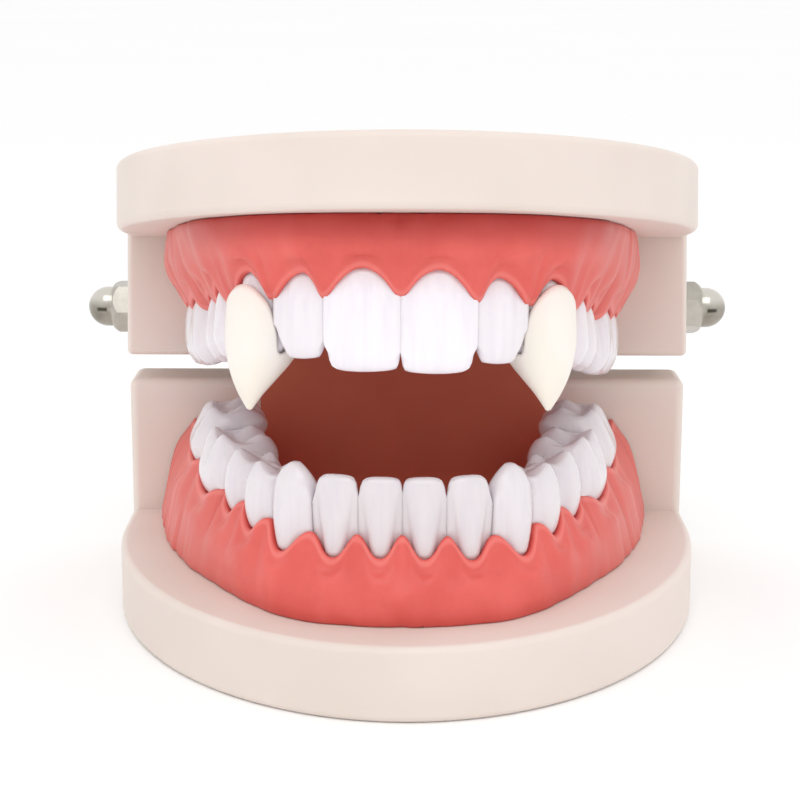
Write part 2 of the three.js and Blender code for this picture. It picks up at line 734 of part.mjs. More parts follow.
function makeNut() {
  const hexRadius = nutAcrossFlats / Math.sqrt(3);
  const hex = toSolid(new THREE.CylinderGeometry(hexRadius, hexRadius, nutHexThickness, 6).translate(
    0,
    nutHexThickness / 2,
    0,
  ));
  const profile = [new THREE.Vector2(0, nutHexThickness / 2)];
  const steps = 4;
  const straight = nutDomeLength - nutDomeRadius;
  for (let step = 0; step <= steps; step += 1) {
    const angle = (step / steps) * (Math.PI / 2);
    const radius = step === steps ? 0 : nutDomeRadius * Math.cos(angle);
    profile.push(new THREE.Vector2(radius, nutHexThickness + straight + nutDomeRadius * Math.sin(angle)));
  }
  profile.splice(1, 0, new THREE.Vector2(nutDomeRadius, nutHexThickness / 2));
  const dome = toSolid(new THREE.LatheGeometry(profile, nutSides));
  const bore = toSolid(new THREE.CylinderGeometry(rodHole, rodHole, 2 * nutBoreDepth, nutSides));
  return hex.add(dome).subtract(bore);
}

const lowerArch = makeArch(archRows.lower, lowerArchHalfWidth, lowerArchDepth);
const upperArch = makeArch(archRows.upper, upperArchHalfWidth, upperArchDepth);
const lowerTeeth = layTeeth('lower', lowerArch);
const upperTeeth = layTeeth('upper', upperArch);

const model = new THREE.Group();
const lowerDenture = new THREE.Group();
lowerDenture.position.set(lowerDentureShift, blockFace, lowerPlateThickness);
const upperJaw = new THREE.Group();
upperJaw.position.set(0, hingeY, hingeZ);
upperJaw.rotation.x = THREE.MathUtils.degToRad(-openingAngle);
const upperDenture = new THREE.Group();
upperDenture.position.set(upperDentureShift, -blockReach, hingeToUpperPlate);
upperDenture.rotation.y = Math.PI;
upperJaw.add(upperDenture);
model.add(lowerDenture, upperJaw);

function addTeeth(denture, jaw, teeth, flipped) {
  for (const tooth of teeth) {
    const side = tooth.side * flipped > 0 ? 'right' : 'left';
    const mesh = piece(`${jaw}_${tooth.name}_${side}`, makeTooth(tooth), toothWhite);
    mesh.position.set(tooth.point.x, tooth.point.y, tooth.neck);
    mesh.rotation.z = tooth.turn;
    denture.add(mesh);
  }
}

function addFangs(denture, teeth) {
  for (const canine of teeth.filter((tooth) => tooth.name === 'canine')) {
    const side = canine.side > 0 ? 'left' : 'right';
    const fang = piece(`fang_${side}`, makeFang(canine), fangIvory);
    fang.position.set(canine.point.x, canine.point.y, canine.neck);
    fang.rotation.z = canine.turn;
    denture.add(fang);
  }
}

function addNuts(jaw) {
  for (const [name, side] of [['left', -1], ['right', 1]]) {
    const nut = piece(`dome_nut_${name}`, toGeometry(makeNut()), nickel);
    nut.position.x = side * (plateWidth / 2 + seatGap);
    nut.rotation.set(THREE.MathUtils.degToRad(nutTurn[name]), 0, -side * (Math.PI / 2));
    jaw.add(nut);
  }
}

model.add(piece('lower_base', toGeometry(makeLowerBase()), cream));
model.add(piece('mouth_lining', toGeometry(makeLining(lowerArch, lowerTeeth)), liningBrown));
lowerDenture.add(piece('lower_gum', toGeometry(makeGum('lower', lowerArch, lowerTeeth)), gumPink));
addTeeth(lowerDenture, 'lower', lowerTeeth, 1);
upperJaw.add(piece('upper_base', toGeometry(makeUpperBase()), cream));
upperDenture.add(piece('upper_gum', toGeometry(makeGum('upper', upperArch, upperTeeth)), gumPink));
addTeeth(upperDenture, 'upper', upperTeeth, -1);
addFangs(upperDenture, upperTeeth);

const rodLength = plateWidth + 2 * nutBoreDepth;
const rod = new THREE.CylinderGeometry(rodDiameter / 2, rodDiameter / 2, rodLength, rodSides);
upperJaw.add(piece('hinge_rod', rod.rotateZ(Math.PI / 2), nickel));
addNuts(upperJaw);

export default model;
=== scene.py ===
# %% [markdown]
# # A hinged dental display model with two vampire fang caps
# The solids that come with this lesson already have the right sizes, places and hinge.
# Here each of them gets its finished skin and its finish: moulded cream bases, flesh-like gums, teeth
# with cusps and rounded edges, ivory fang caps and polished nuts.
# Everything is in metres, seen from the front along +Y, with +Z up.

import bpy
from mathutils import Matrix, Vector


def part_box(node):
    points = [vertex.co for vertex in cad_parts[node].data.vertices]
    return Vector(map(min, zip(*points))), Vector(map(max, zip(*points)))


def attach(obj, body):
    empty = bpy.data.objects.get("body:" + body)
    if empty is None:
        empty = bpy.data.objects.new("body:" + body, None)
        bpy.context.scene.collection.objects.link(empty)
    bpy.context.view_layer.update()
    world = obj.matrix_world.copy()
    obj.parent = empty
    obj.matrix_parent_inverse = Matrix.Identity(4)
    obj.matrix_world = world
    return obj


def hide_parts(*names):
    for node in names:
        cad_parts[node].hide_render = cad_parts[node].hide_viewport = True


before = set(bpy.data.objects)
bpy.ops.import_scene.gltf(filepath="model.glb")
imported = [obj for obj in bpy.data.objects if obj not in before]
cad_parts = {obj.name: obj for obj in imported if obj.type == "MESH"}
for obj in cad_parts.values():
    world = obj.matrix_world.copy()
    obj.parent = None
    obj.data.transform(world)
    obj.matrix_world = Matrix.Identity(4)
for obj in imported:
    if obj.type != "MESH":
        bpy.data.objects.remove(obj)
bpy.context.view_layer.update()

# %% [markdown]
# ## Working in millimetres
# A dental model is measured in millimetres, so the sizes below are in millimetres, and one factor brings
# them to metres where a mesh is made.
# Two small helpers come first. An operator works on everything that is selected, so the first one clears the
# selection. The second one picks faces, edges or points by their place, as a hand would with the mouse.

# %% Helpers for selecting
import math

import bpy
from mathutils import Matrix, Vector

MM = 0.001


def deselect_all():
    if bpy.context.object and bpy.context.object.mode != "OBJECT":
        bpy.ops.object.mode_set(mode="OBJECT")
    bpy.ops.object.select_all(action="DESELECT")


def pick(piece, kind, test):
    """Opens edit mode with only those faces, edges or points selected whose middle, in mm, passes."""
    bpy.ops.object.mode_set(mode="EDIT")
    bpy.ops.mesh.select_mode(type=kind)
    bpy.ops.mesh.select_all(action="DESELECT")
    bpy.ops.object.mode_set(mode="OBJECT")
    mesh = piece.data
    points = [vertex.co / MM for vertex in mesh.vertices]
    parts = {"VERT": mesh.vertices, "EDGE": mesh.edges, "FACE": mesh.polygons}[kind]
    picked = 0
    for part in parts:
        corners = [points[part.index]] if kind == "VERT" else [points[i] for i in part.vertices]
        part.select = bool(test(corners))
        picked += part.select
    bpy.ops.object.mode_set(mode="EDIT")
    return picked


# %% [markdown]
# ## The camera
# The photograph looks at the model from the front and about 13 degrees down, from roughly a third of a metre
# away, so the base plate looks wider than the throat behind it. The camera repeats that view: the place, tilt
# and focal length were worked out from the outlines of both plates and blocks.

# %% The camera
CAMERA_PLACE = (-0.000012, -0.271126, 0.092288)
CAMERA_DOWN = 0.21993
CAMERA_TURN = 0.00337
CAMERA_ROLL = 0.00178
SENSOR_MM = 36.0
FOCAL_PIXELS = 2012.07
PHOTO_PIXELS = 800

eye = bpy.data.cameras.new("photo_camera")
eye.sensor_width = SENSOR_MM
eye.lens = FOCAL_PIXELS / PHOTO_PIXELS * SENSOR_MM
eye.clip_start = 0.01
camera = bpy.data.objects.new("photo_camera", eye)
bpy.context.scene.collection.objects.link(camera)
look = Matrix.Rotation(CAMERA_TURN, 4, "Z") @ Matrix.Rotation(math.pi / 2 - CAMERA_DOWN, 4, "X")
camera.matrix_world = Matrix.Translation(CAMERA_PLACE) @ look @ Matrix.Rotation(CAMERA_ROLL, 4, "Z")
bpy.context.scene.camera = camera
print("camera lens:", round(eye.lens, 2), "mm")

# %% [markdown]
# ## Light, floor and sky
# The photograph is a product shot on white: the light comes from all sides, and a little more from above, so
# the top faces are the brightest and the shadows under the gums stay soft.
# A white sky gives the even light, two softboxes above and in front give the shine on teeth and gums, and
# a pale floor catches a faint shadow. A plane is enough for the floor because nothing but light touches it.

# %% Light and floor
world = bpy.data.worlds.new("white_studio")
world.use_nodes = True
world.node_tree.nodes["Background"].inputs["Color"].default_value = (1.0, 1.0, 1.0, 1.0)
world.node_tree.nodes["Background"].inputs["Strength"].default_value = 1.0
bpy.context.scene.world = world
bpy.context.scene.view_settings.view_transform = "Standard"


def softbox(name, place, aim, size, power, colour=(1.0, 1.0, 1.0)):
    lamp = bpy.data.lights.new(name, "AREA")
    lamp.shape = "RECTANGLE"
    lamp.size, lamp.size_y = size
    lamp.energy = power
    lamp.color = colour
    holder = bpy.data.objects.new(name, lamp)
    bpy.context.scene.collection.objects.link(holder)
    way = Vector(aim) - Vector(place)
    holder.matrix_world = Matrix.Translation(place) @ way.to_track_quat("-Z", "Y").to_matrix().to_4x4()
    return holder


softbox("key_softbox", (0.05, -0.36, 0.42), (0, 0, 0.03), (0.34, 0.24), 0.17, (0.97, 0.985, 1.0))
softbox("top_softbox", (-0.03, -0.27, 0.49), (0, -0.02, 0.02), (0.5, 0.3), 0.46)

deselect_all()
bpy.ops.mesh.primitive_plane_add(size=12.0, location=(0, 0, 0))
floor = bpy.context.object
floor.name = "studio_floor"
print("lamps:", [lamp.name for lamp in bpy.data.lights])

# %% [markdown]
# ## Writing materials as sums
# A material is a net of nodes. Wiring it by hand hides the idea, so the class below wraps a node's output and
# answers to plain arithmetic: each sum, difference or product adds one Math node.
# Everything else, such as a noise or a ramp, comes from the one method add, which takes the node's type, its
# settings and what goes into its sockets.

# %% A socket that can be used in sums
class Value:
    def __init__(self, tree, socket):
        self.tree = tree
        self.socket = socket

    def math(self, operation, first, second=None):
        node = self.tree.nodes.new("ShaderNodeMath")
        node.operation = operation
        for socket, given in zip(node.inputs, (first, second)):
            if isinstance(given, Value):
                self.tree.links.new(given.socket, socket)
            elif given is not None:
                socket.default_value = given
        return Value(self.tree, node.outputs[0])

    def __add__(self, other):
        return self.math("ADD", self, other)

    def __radd__(self, other):
        return self.math("ADD", other, self)

    def __sub__(self, other):
        return self.math("SUBTRACT", self, other)

    def __rsub__(self, other):
        return self.math("SUBTRACT", other, self)

    def __mul__(self, other):
        return self.math("MULTIPLY", self, other)

    def __rmul__(self, other):
        return self.math("MULTIPLY", other, self)

    def __truediv__(self, other):
        return self.math("DIVIDE", self, other)

    def __pow__(self, other):
        return self.math("POWER", self, other)

    def absolute(self):
        return self.math("ABSOLUTE", self)

    def between(self, low, high):
        """0 where the value is low, 1 where it is high, and a smooth step from one to the other."""
        node = self.tree.nodes.new("ShaderNodeMapRange")
        node.interpolation_type = "SMOOTHSTEP"
        self.tree.links.new(self.socket, node.inputs["Value"])
        node.inputs["From Min"].default_value = low
        node.inputs["From Max"].default_value = high
        return Value(self.tree, node.outputs["Result"])


# %% A finish: one material and the nodes that feed it
def paint(red, green, blue):
    """A colour read off a screen, turned into the light that it stands for."""
    light = [(c / 255 / 12.92) if c <= 10 else ((c / 255 + 0.055) / 1.055) ** 2.4 for c in (red, green, blue)]
    return (*light, 1.0)


class Finish:
    def __init__(self, name, **fixed):
        self.material = bpy.data.materials.new(name)
        self.material.use_nodes = True
        self.tree = self.material.node_tree
        self.surface = self.tree.nodes["Principled BSDF"]
        for socket, given in fixed.items():
            self.surface.inputs[socket.replace("_", " ")].default_value = given

    def add(self, kind, settings=None, sockets=None, out=0):
        node = self.tree.nodes.new(kind)
        for key, given in (settings or {}).items():
            if key == "stops":
                for index, (place, colour) in enumerate(given):
                    stops = node.color_ramp.elements
                    stop = stops[index] if index < len(stops) else stops.new(place)
                    stop.position, stop.color = place, colour
            else:
                setattr(node, key, given)
        for key, given in (sockets or {}).items():
            if isinstance(given, Value):
                self.tree.links.new(given.socket, node.inputs[key])
            else:
                node.inputs[key].default_value = given
        return Value(self.tree, node.outputs[out])

    def place(self, stretch=(1, 1, 1)):
        """The point in the piece's own coordinates, stretched so that a pattern can run along one way."""
        point = self.add("ShaderNodeTexCoord", out="Object")
        return self.add("ShaderNodeMapping", {}, {"Vector": point, "Scale": stretch})

    def noise(self, per_metre, detail=3.0, rough=0.5, stretch=(1, 1, 1)):
        sockets = {"Vector": self.place(stretch), "Scale": per_metre, "Detail": detail, "Roughness": rough}
        return self.add("ShaderNodeTexNoise", {}, sockets)

    def height(self, axis):
        split = {"X": 0, "Y": 1, "Z": 2}[axis]
        return self.add("ShaderNodeSeparateXYZ", {}, {"Vector": self.place()}, out=split)

    def marks(self, name):
        """A number that was written on each point of the piece while it was shaped."""
        return self.add("ShaderNodeAttribute", {"attribute_name": name}, out="Fac")

    def mix(self, share, first, second):
        sockets = {0: share, 6: first, 7: second}
        return self.add("ShaderNodeMix", {"data_type": "RGBA"}, sockets, out=2)

    def feed(self, socket, given):
        self.tree.links.new(given.socket, self.surface.inputs[socket])

    def bump(self, value, depth_mm, strength=1.0):
        sockets = {"Strength": strength, "Distance": depth_mm * MM, "Height": value}
        self.feed("Normal", self.add("ShaderNodeBump", {}, sockets))


print("a mid grey of 128 is light of", round(paint(128, 128, 128)[0], 3))

# %% [markdown]
# ## The finishes
# Six finishes cover the whole model. Each starts from the colour in the photograph, then gets what makes the
# real one look real: a slow drift of colour, a gloss that isn't the same everywhere, and a skin that isn't
# perfectly flat.
# The floor is a matt near-white.

# %% Floor
floor_finish = Finish("studio_floor_matt", Roughness=0.9)
drift = floor_finish.noise(3.0, detail=1.0)
floor_finish.feed("Base Color", floor_finish.mix(drift, paint(252, 252, 252), paint(254, 254, 254)))
floor.data.materials.append(floor_finish.material)

# %% [markdown]
# The bases are thick moulded plastic the colour of cream with a touch of pink, with an even satin gloss.
# Up close such a moulding has a fine orange-peel skin and very slow changes of tone where it cooled, so one
# noise of a few centimetres drives the tone and one of under a millimetre drives bump and gloss.

# %% Cream plastic
cream_plastic = Finish("cream_plastic", IOR=1.46, Subsurface_Weight=0.12, Subsurface_Scale=0.002)
cream_plastic.surface.inputs["Subsurface Radius"].default_value = (1.0, 0.6, 0.4)
tone = cream_plastic.noise(38.0, detail=2.0)
grain = cream_plastic.noise(1500.0, detail=2.0)
cream = cream_plastic.mix(tone.between(0.3, 0.7), paint(223, 210, 201), paint(230, 217, 209))
cream_plastic.feed("Base Color", cream)
cream_plastic.feed("Roughness", 0.40 + 0.08 * grain + 0.05 * tone)
cream_plastic.bump(grain, 0.02, 0.35)

# %% [markdown]
# The gums are a soft coral resin. The colour runs from pale pink on the ridges to a deep red in the folds and
# beside the upper plate: the pale ridges are painted light, the red folds are painted shade, and the deep red
# beside the plate is painted shadow from its overhang. A thin darker edge with a paler line beside it follows
# each tooth's neck: painted shade where the gum meets the tooth, and a painted highlight on the rolled rim.
# The gum's mesh will carry three numbers on each point: margin is 1 at the edge round a tooth, fold goes from
# 0 in a fold to 1 on a ridge, and shade says how much painted shadow darkens the gum beside the plate. The
# colour mixes read those, so the painted light and shade follow the shape.

# %% Gum
gum_pink = Finish(
    "gum_pink", IOR=1.45, Subsurface_Weight=0.25, Subsurface_Scale=0.0018, Coat_Roughness=0.12
)
gum_pink.surface.inputs["Subsurface Radius"].default_value = (1.0, 0.35, 0.25)
mottle = gum_pink.noise(130.0, detail=4.0, rough=0.6)
veins = gum_pink.noise(420.0, detail=3.0, rough=0.65, stretch=(1.0, 1.0, 0.35))
fold = gum_pink.marks("fold")
margin = gum_pink.marks("margin")
# The shade mark is painted shadow: how much the gum is darkened beside the plate.
painted_plate_shadow = gum_pink.marks("shade")
cheek = gum_pink.height("X").absolute().between(0.017, 0.030)
flesh = gum_pink.mix(mottle.between(0.3, 0.7), paint(217, 87, 79), paint(226, 98, 90))
flesh = gum_pink.mix(cheek * 0.7, flesh, paint(218, 114, 106))
# Painted light and shade: ridges are painted paler and folds a deeper red, following the shape.
flesh = gum_pink.mix(fold.between(0.6, 1.0) * 0.4, flesh, paint(240, 146, 138))
flesh = gum_pink.mix((1 - fold).between(0.6, 1.0) * 0.3, flesh, paint(205, 74, 68))
flesh = gum_pink.mix(veins.between(0.52, 0.75) * 0.22, flesh, paint(212, 80, 74))
# Painted shade darkens the gum's edge where it meets the tooth, and a painted highlight runs along the rolled
# rim beside it.
flesh = gum_pink.mix(margin.between(0.6, 0.95) * 0.6, flesh, paint(200, 62, 56))
painted_rim_highlight = margin.between(0.02, 0.25) * (1 - margin.between(0.3, 0.6))
flesh = gum_pink.mix(painted_rim_highlight * 0.3, flesh, paint(246, 152, 144))
# Painted shadow: deep red beside the plate, where the plate's overhang shades the gum.
flesh = gum_pink.mix(painted_plate_shadow, flesh, paint(166, 34, 29))
gum_pink.feed("Base Color", flesh)
gum_pink.feed("Roughness", 0.42 + 0.14 * mottle)
gum_pink.feed("Coat Weight", 0.05 + 0.12 * veins)
gum_pink.bump(mottle * 0.8 + veins * 0.2, 0.15, 0.4)

# %% [markdown]
# The teeth are glossy acrylic, white with a breath of lavender, and show faint upright bands where light runs
# through the enamel. The bands are a noise that is stretched along the tooth, and the number crown, 0 at the
# neck and 1 at the biting edge, makes the edge a little greyer and the neck a little warmer. A second number
# is one value for each tooth and is painted shade: the lower row and the back teeth are painted duller, for
# the shade they lie in.

# %% Teeth
tooth_white = Finish(
    "tooth_white", IOR=1.5, Subsurface_Weight=0.22, Subsurface_Scale=0.0016, Coat_Roughness=0.06
)
tooth_white.surface.inputs["Subsurface Radius"].default_value = (0.9, 0.85, 1.0)
bands = tooth_white.noise(900.0, detail=2.0, stretch=(1.0, 1.0, 0.06))
cloud = tooth_white.noise(240.0, detail=2.0)
crown = tooth_white.marks("crown")
enamel = tooth_white.mix(bands.between(0.35, 0.7), paint(243, 238, 244), paint(236, 231, 239))
enamel = tooth_white.mix(cloud.between(0.4, 0.8) * 0.5, enamel, paint(245, 241, 244))
enamel = tooth_white.mix((1 - crown).between(0.75, 1.0) * 0.6, enamel, paint(234, 222, 224))
enamel = tooth_white.mix(crown.between(0.82, 1.0) * 0.35, enamel, paint(232, 228, 235))
# Painted shade: each tooth is mixed towards a dull grey by its own value, most on the lower row and the back
# teeth.
enamel = tooth_white.mix(tooth_white.marks("grey"), enamel, paint(196, 186, 184))
tooth_white.feed("Base Color", enamel)
tooth_white.feed("Roughness", 0.18 + 0.12 * cloud)
tooth_white.feed("Coat Weight", 0.25 + 0.2 * bands)
tooth_white.bump(bands * 0.6 + cloud * 0.4, 0.05, 0.5)

# %% [markdown]
# The fang caps are thinner, warmer plastic: ivory at the top with a faint green-cream shade towards the tip,
# and a duller gloss than the teeth.

# %% Fangs
fang_ivory = Finish(
    "fang_ivory", IOR=1.48, Subsurface_Weight=0.25, Subsurface_Scale=0.0018, Coat_Roughness=0.15
)
fang_ivory.surface.inputs["Subsurface Radius"].default_value = (1.0, 0.9, 0.7)
cap_cloud = fang_ivory.noise(150.0, detail=2.0, stretch=(1.0, 1.0, 0.5))
cap_grain = fang_ivory.noise(1100.0, detail=2.0)
cap_height = fang_ivory.marks("crown")
ivory = fang_ivory.mix(cap_cloud.between(0.35, 0.65), paint(244, 237, 230), paint(240, 233, 222))
ivory = fang_ivory.mix(cap_height.between(0.3, 1.0) * 0.45, ivory, paint(242, 234, 220))
ivory = fang_ivory.mix((1 - cap_height).between(0.8, 1.0) * 0.5, ivory, paint(243, 234, 226))
fang_ivory.feed("Base Color", ivory)
fang_ivory.feed("Roughness", 0.28 + 0.12 * cap_cloud)
fang_ivory.feed("Coat Weight", 0.12 + 0.15 * cap_grain)
fang_ivory.bump(cap_grain, 0.03, 0.4)

# %% [markdown]
# The mouth lining is a thin sheet the colour of baked clay, put in as painted shade for the dark inside of
# the mouth. It is matt, with painted shade that makes it redder and darker low down in the corners, browner
# in the middle, and a fine felt-like grain.

# %% Mouth lining, painted shade
lining_brown = Finish("lining_brown", IOR=1.4, Specular_IOR_Level=0.2)
sheet_cloud = lining_brown.noise(70.0, detail=3.0)
sheet_grain = lining_brown.noise(1900.0, detail=2.0)
low_down = (1 - lining_brown.height("Z").between(0.012, 0.034)) * 0.7
to_the_side = lining_brown.height("X").absolute().between(0.008, 0.022)
clay = lining_brown.mix(sheet_cloud.between(0.3, 0.7), paint(206, 118, 94), paint(215, 124, 100))
# Painted shade: redder and darker low down towards the corners.
clay = lining_brown.mix(low_down * to_the_side, clay, paint(206, 104, 84))
lining_brown.feed("Base Color", clay)
lining_brown.feed("Roughness", 0.62 + 0.18 * sheet_grain)
lining_brown.bump(sheet_grain * 0.5 + sheet_cloud, 0.06, 0.4)

# %% [markdown]
# The rod and its dome nuts are nickel-plated steel, polished, with the hair-fine turning marks of a bar part
# and the slightly uneven shine of cheap plating. Polished metal mirrors its surroundings: a bright ceiling, a
# duller table, and a dark streak where the room's far end shows. This studio is white all round, so two
# numbers on each point, upwards and forwards, say how far the surface leans those ways and stand in for them.

# %% Nickel
nickel = Finish("nickel", Metallic=1.0)
turning = nickel.noise(2600.0, detail=2.0, stretch=(1.0, 0.08, 0.08))
plating = nickel.noise(500.0, detail=3.0)
upwards = nickel.marks("upwards")
level = upwards.between(-0.14, -0.04) * (1 - upwards.between(0.04, 0.14))
streak = level * nickel.marks("forwards").between(0.84, 0.93)
metal = nickel.mix(plating.between(0.3, 0.7), paint(138, 132, 122), paint(162, 156, 146))
metal = nickel.mix(upwards.between(-0.05, 0.6), metal, paint(214, 209, 200))
metal = nickel.mix(streak * 0.85, metal, paint(52, 47, 42))
nickel.feed("Base Color", metal)
nickel.feed("Roughness", 0.10 + 0.12 * plating + 0.06 * turning)
nickel.bump(turning, 0.008, 0.3)
print("finishes:", sorted(m.name for m in bpy.data.materials if m.users and m.node_tree))

# %% [markdown]
# ## Handing a piece over
# Each finished piece gets the same last steps: its faces are turned outwards, it is smoothed up to an angle,
# its object is brought back to the origin with its place in its mesh, it is told which jaw it moves with, and
# the solids it stands for are hidden. One function does that for every piece and prints how far its box lies
# from the solid's.

# %% Hand a piece over
pieces = []


def choose(piece):
    deselect_all()
    piece.select_set(True)
    bpy.context.view_layer.objects.active = piece


def face_outwards(piece):
    choose(piece)
    bpy.ops.object.mode_set(mode="EDIT")
    bpy.ops.mesh.select_all(action="SELECT")
    bpy.ops.mesh.remove_doubles(threshold=0.002 * MM)
    bpy.ops.mesh.normals_make_consistent(inside=False)
    bpy.ops.object.mode_set(mode="OBJECT")


def hand_over(piece, name, jaw, finish, slot, angle, *solids):
    piece.name = piece.data.name = name
    choose(piece)
    bpy.ops.object.transform_apply(location=True, rotation=True, scale=True)
    face_outwards(piece)
    bpy.ops.object.shade_smooth_by_angle(angle=math.radians(angle))
    piece.data.materials.clear()
    piece.data.materials.append(finish.material)
    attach(piece, jaw)
    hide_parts(*solids)
    pieces.append(piece)
    low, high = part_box(solids[0])
    mine = [vertex.co for vertex in piece.data.vertices]
    worst = max(
        max(low[i] - min(co[i] for co in mine), max(co[i] for co in mine) - high[i]) for i in range(3)
    )
    print(f"{name}: {len(piece.data.polygons)} faces, at most {worst / MM:.2f} mm past its solid")
    return piece


# %% [markdown]
# ## Where the jaws stand
# The lower plate lies on the floor. The upper jaw is drawn level too, with its own origin on the hinge rod,
# and is then turned 11 degrees open about that rod. The upper teeth point down, so their arch is drawn
# upright as the lower one is and turned over. Two matrices hold those moves.

# %% The jaws' frames
PLATE_WIDTH = 82.8
PLATE_DEPTH = 80.0
LOWER_PLATE = 9.8
UPPER_PLATE = 9.4
ROUND_FRONT = 54.0
FRONT_SQUARENESS = 1.96
BLOCK_DEPTH = 18.0
BLOCK_HEIGHT = 20.1
HINGE_ABOVE_BLOCK = 9.4
HINGE_TO_PLATE = 10.1
OPENING = 11.0
GAP = 0.3

BLOCK_FACE = PLATE_DEPTH / 2 - BLOCK_DEPTH
BLOCK_TOP = LOWER_PLATE + BLOCK_HEIGHT
HINGE = Vector((0, BLOCK_FACE + BLOCK_DEPTH / 2, BLOCK_TOP + HINGE_ABOVE_BLOCK))

upper_jaw = Matrix.Translation(HINGE * MM) @ Matrix.Rotation(math.radians(-OPENING), 4, "X")
lower_arch_frame = Matrix.Translation(Vector((-0.5, BLOCK_FACE, LOWER_PLATE)) * MM)
turned_over = Matrix.Translation(Vector((-0.75, -BLOCK_DEPTH / 2, HINGE_TO_PLATE)) * MM)
upper_arch_frame = upper_jaw @ turned_over @ Matrix.Rotation(math.pi, 4, "Y")
print("hinge rod at", [round(v, 1) for v in HINGE], "mm")

# %% [markdown]
# ## The two bases
# Each base is one moulding: a D-shaped plate with a rounded front, and upright shapes at the back that make
# the hinge. A circle gives the D: its points are pressed to the plate's outline, its rear half is cut away,
# the cut edge is pulled straight back, and the flat face is pulled up to the plate's thickness.
# Last, a bevel rounds the rims, because a moulded edge is never sharp and it catches the light in the photo.

# %% A D-shaped plate
def make_plate(half_width, thickness, rim):
    deselect_all()
    bpy.ops.mesh.primitive_circle_add(vertices=256, radius=half_width * MM, fill_type="NGON")
    plate = bpy.context.object
    middle = ROUND_FRONT - PLATE_DEPTH / 2
    for vertex in plate.data.vertices:
        turn = math.atan2(vertex.co.y, vertex.co.x)
        across = abs(math.cos(turn)) ** (2 / FRONT_SQUARENESS) * math.copysign(1, math.cos(turn))
        along = abs(math.sin(turn)) ** (2 / FRONT_SQUARENESS) * math.copysign(1, math.sin(turn))
        vertex.co = Vector((across * half_width, middle + along * ROUND_FRONT, 0)) * MM
    bpy.ops.object.mode_set(mode="EDIT")
    bpy.ops.mesh.select_all(action="SELECT")
    bpy.ops.mesh.bisect(plane_co=(0, middle * MM, 0), plane_no=(0, 1, 0), clear_outer=True)
    on_cut = lambda corners: all(abs(corner.y - middle) < 0.01 for corner in corners)
    pick(plate, "EDGE", on_cut)
    back = (PLATE_DEPTH / 2 - middle) * MM
    bpy.ops.mesh.extrude_region_move(TRANSFORM_OT_translate={"value": (0, back, 0)})
    pick(plate, "EDGE", lambda corners: on_cut(corners) and abs(corners[0].x - corners[1].x) > half_width)
    bpy.ops.mesh.dissolve_edges()
    bpy.ops.mesh.select_all(action="SELECT")
    bpy.ops.mesh.extrude_region_move(TRANSFORM_OT_translate={"value": (0, 0, thickness * MM)})
    bpy.ops.object.mode_set(mode="OBJECT")
    face_outwards(plate)
    level = lambda corners: abs(corners[0].z - corners[1].z) < 0.01
    rims = pick(plate, "EDGE", level)
    bpy.ops.mesh.bevel(offset=rim * MM, segments=5, profile=0.5, affect="EDGES")
    bpy.ops.object.mode_set(mode="OBJECT")
    print("plate:", rims, "rim edges rounded")
    return plate


# %% [markdown]
# The uprights are blocks. A cube is added at its size, slanted faces are cut with bisect, and all edges are
# bevelled. The pieces are then joined with a Boolean modifier, so that the base is one skin with no faces
# left inside, as a moulding is.

# %% Blocks and joins
def make_block(low, high, edge, cuts=(), segments=5):
    deselect_all()
    low, high = Vector(low), Vector(high)
    bpy.ops.mesh.primitive_cube_add(size=1, location=(low + high) / 2 * MM, scale=(high - low) * MM)
    block = bpy.context.object
    bpy.ops.object.transform_apply(location=True, rotation=True, scale=True)
    for through, outwards in cuts:
        bpy.ops.object.mode_set(mode="EDIT")
        bpy.ops.mesh.select_all(action="SELECT")
        bpy.ops.mesh.bisect(
            plane_co=Vector(through) * MM, plane_no=outwards, use_fill=True, clear_outer=True
        )
        bpy.ops.object.mode_set(mode="OBJECT")
    bpy.ops.object.mode_set(mode="EDIT")
    bpy.ops.mesh.select_all(action="SELECT")
    bpy.ops.mesh.bevel(offset=edge * MM, segments=segments, profile=0.5, affect="EDGES")
    bpy.ops.object.mode_set(mode="OBJECT")
    return block


def combine(piece, other, operation):
    deselect_all()
    bpy.context.view_layer.objects.active = piece
    joint = piece.modifiers.new("combine", "BOOLEAN")
    joint.operation = operation
    joint.solver = "EXACT"
    joint.object = other
    bpy.ops.object.modifier_apply(modifier="combine")
    bpy.data.objects.remove(other)
    return piece


def drill(piece, middle, radius, length):
    deselect_all()
    bpy.ops.mesh.primitive_cylinder_add(
        vertices=48, radius=radius * MM, depth=length * MM, location=Vector(middle) * MM,
        rotation=(0, math.pi / 2, 0),
    )
    return combine(piece, bpy.context.object, "DIFFERENCE")


def settle_shading(piece):
    """Lets the large flat faces lead the shading, so that the bevels blend into them without a smear."""
    choose(piece)
    piece.modifiers.new("settle", "WEIGHTED_NORMAL").keep_sharp = True
    bpy.ops.object.modifier_apply(modifier="settle")


# %% [markdown]
# The lower base carries a block across its whole back, with its top rear edge slanted off so that the upper
# jaw can swing back over it. A round-topped tongue stands on the middle of the block and holds the rod.
# Bevelling the two top edges of a cube by half its depth gives that round top.

# %% Lower base
TONGUE_WIDTH = 44.0
BLOCK_EDGE = 1.4
REAR_CUT_DEPTH = 6.0
REAR_CUT_HEIGHT = 9.0
ROD = 4.0

half = PLATE_WIDTH / 2
rear = PLATE_DEPTH / 2
lower_base = make_plate(half, LOWER_PLATE, 1.0)
rear_cut = ((0, rear, BLOCK_TOP - REAR_CUT_HEIGHT), (0, REAR_CUT_HEIGHT, REAR_CUT_DEPTH))
block = make_block((-half, BLOCK_FACE, LOWER_PLATE / 2), (half, rear, BLOCK_TOP), BLOCK_EDGE, [rear_cut])

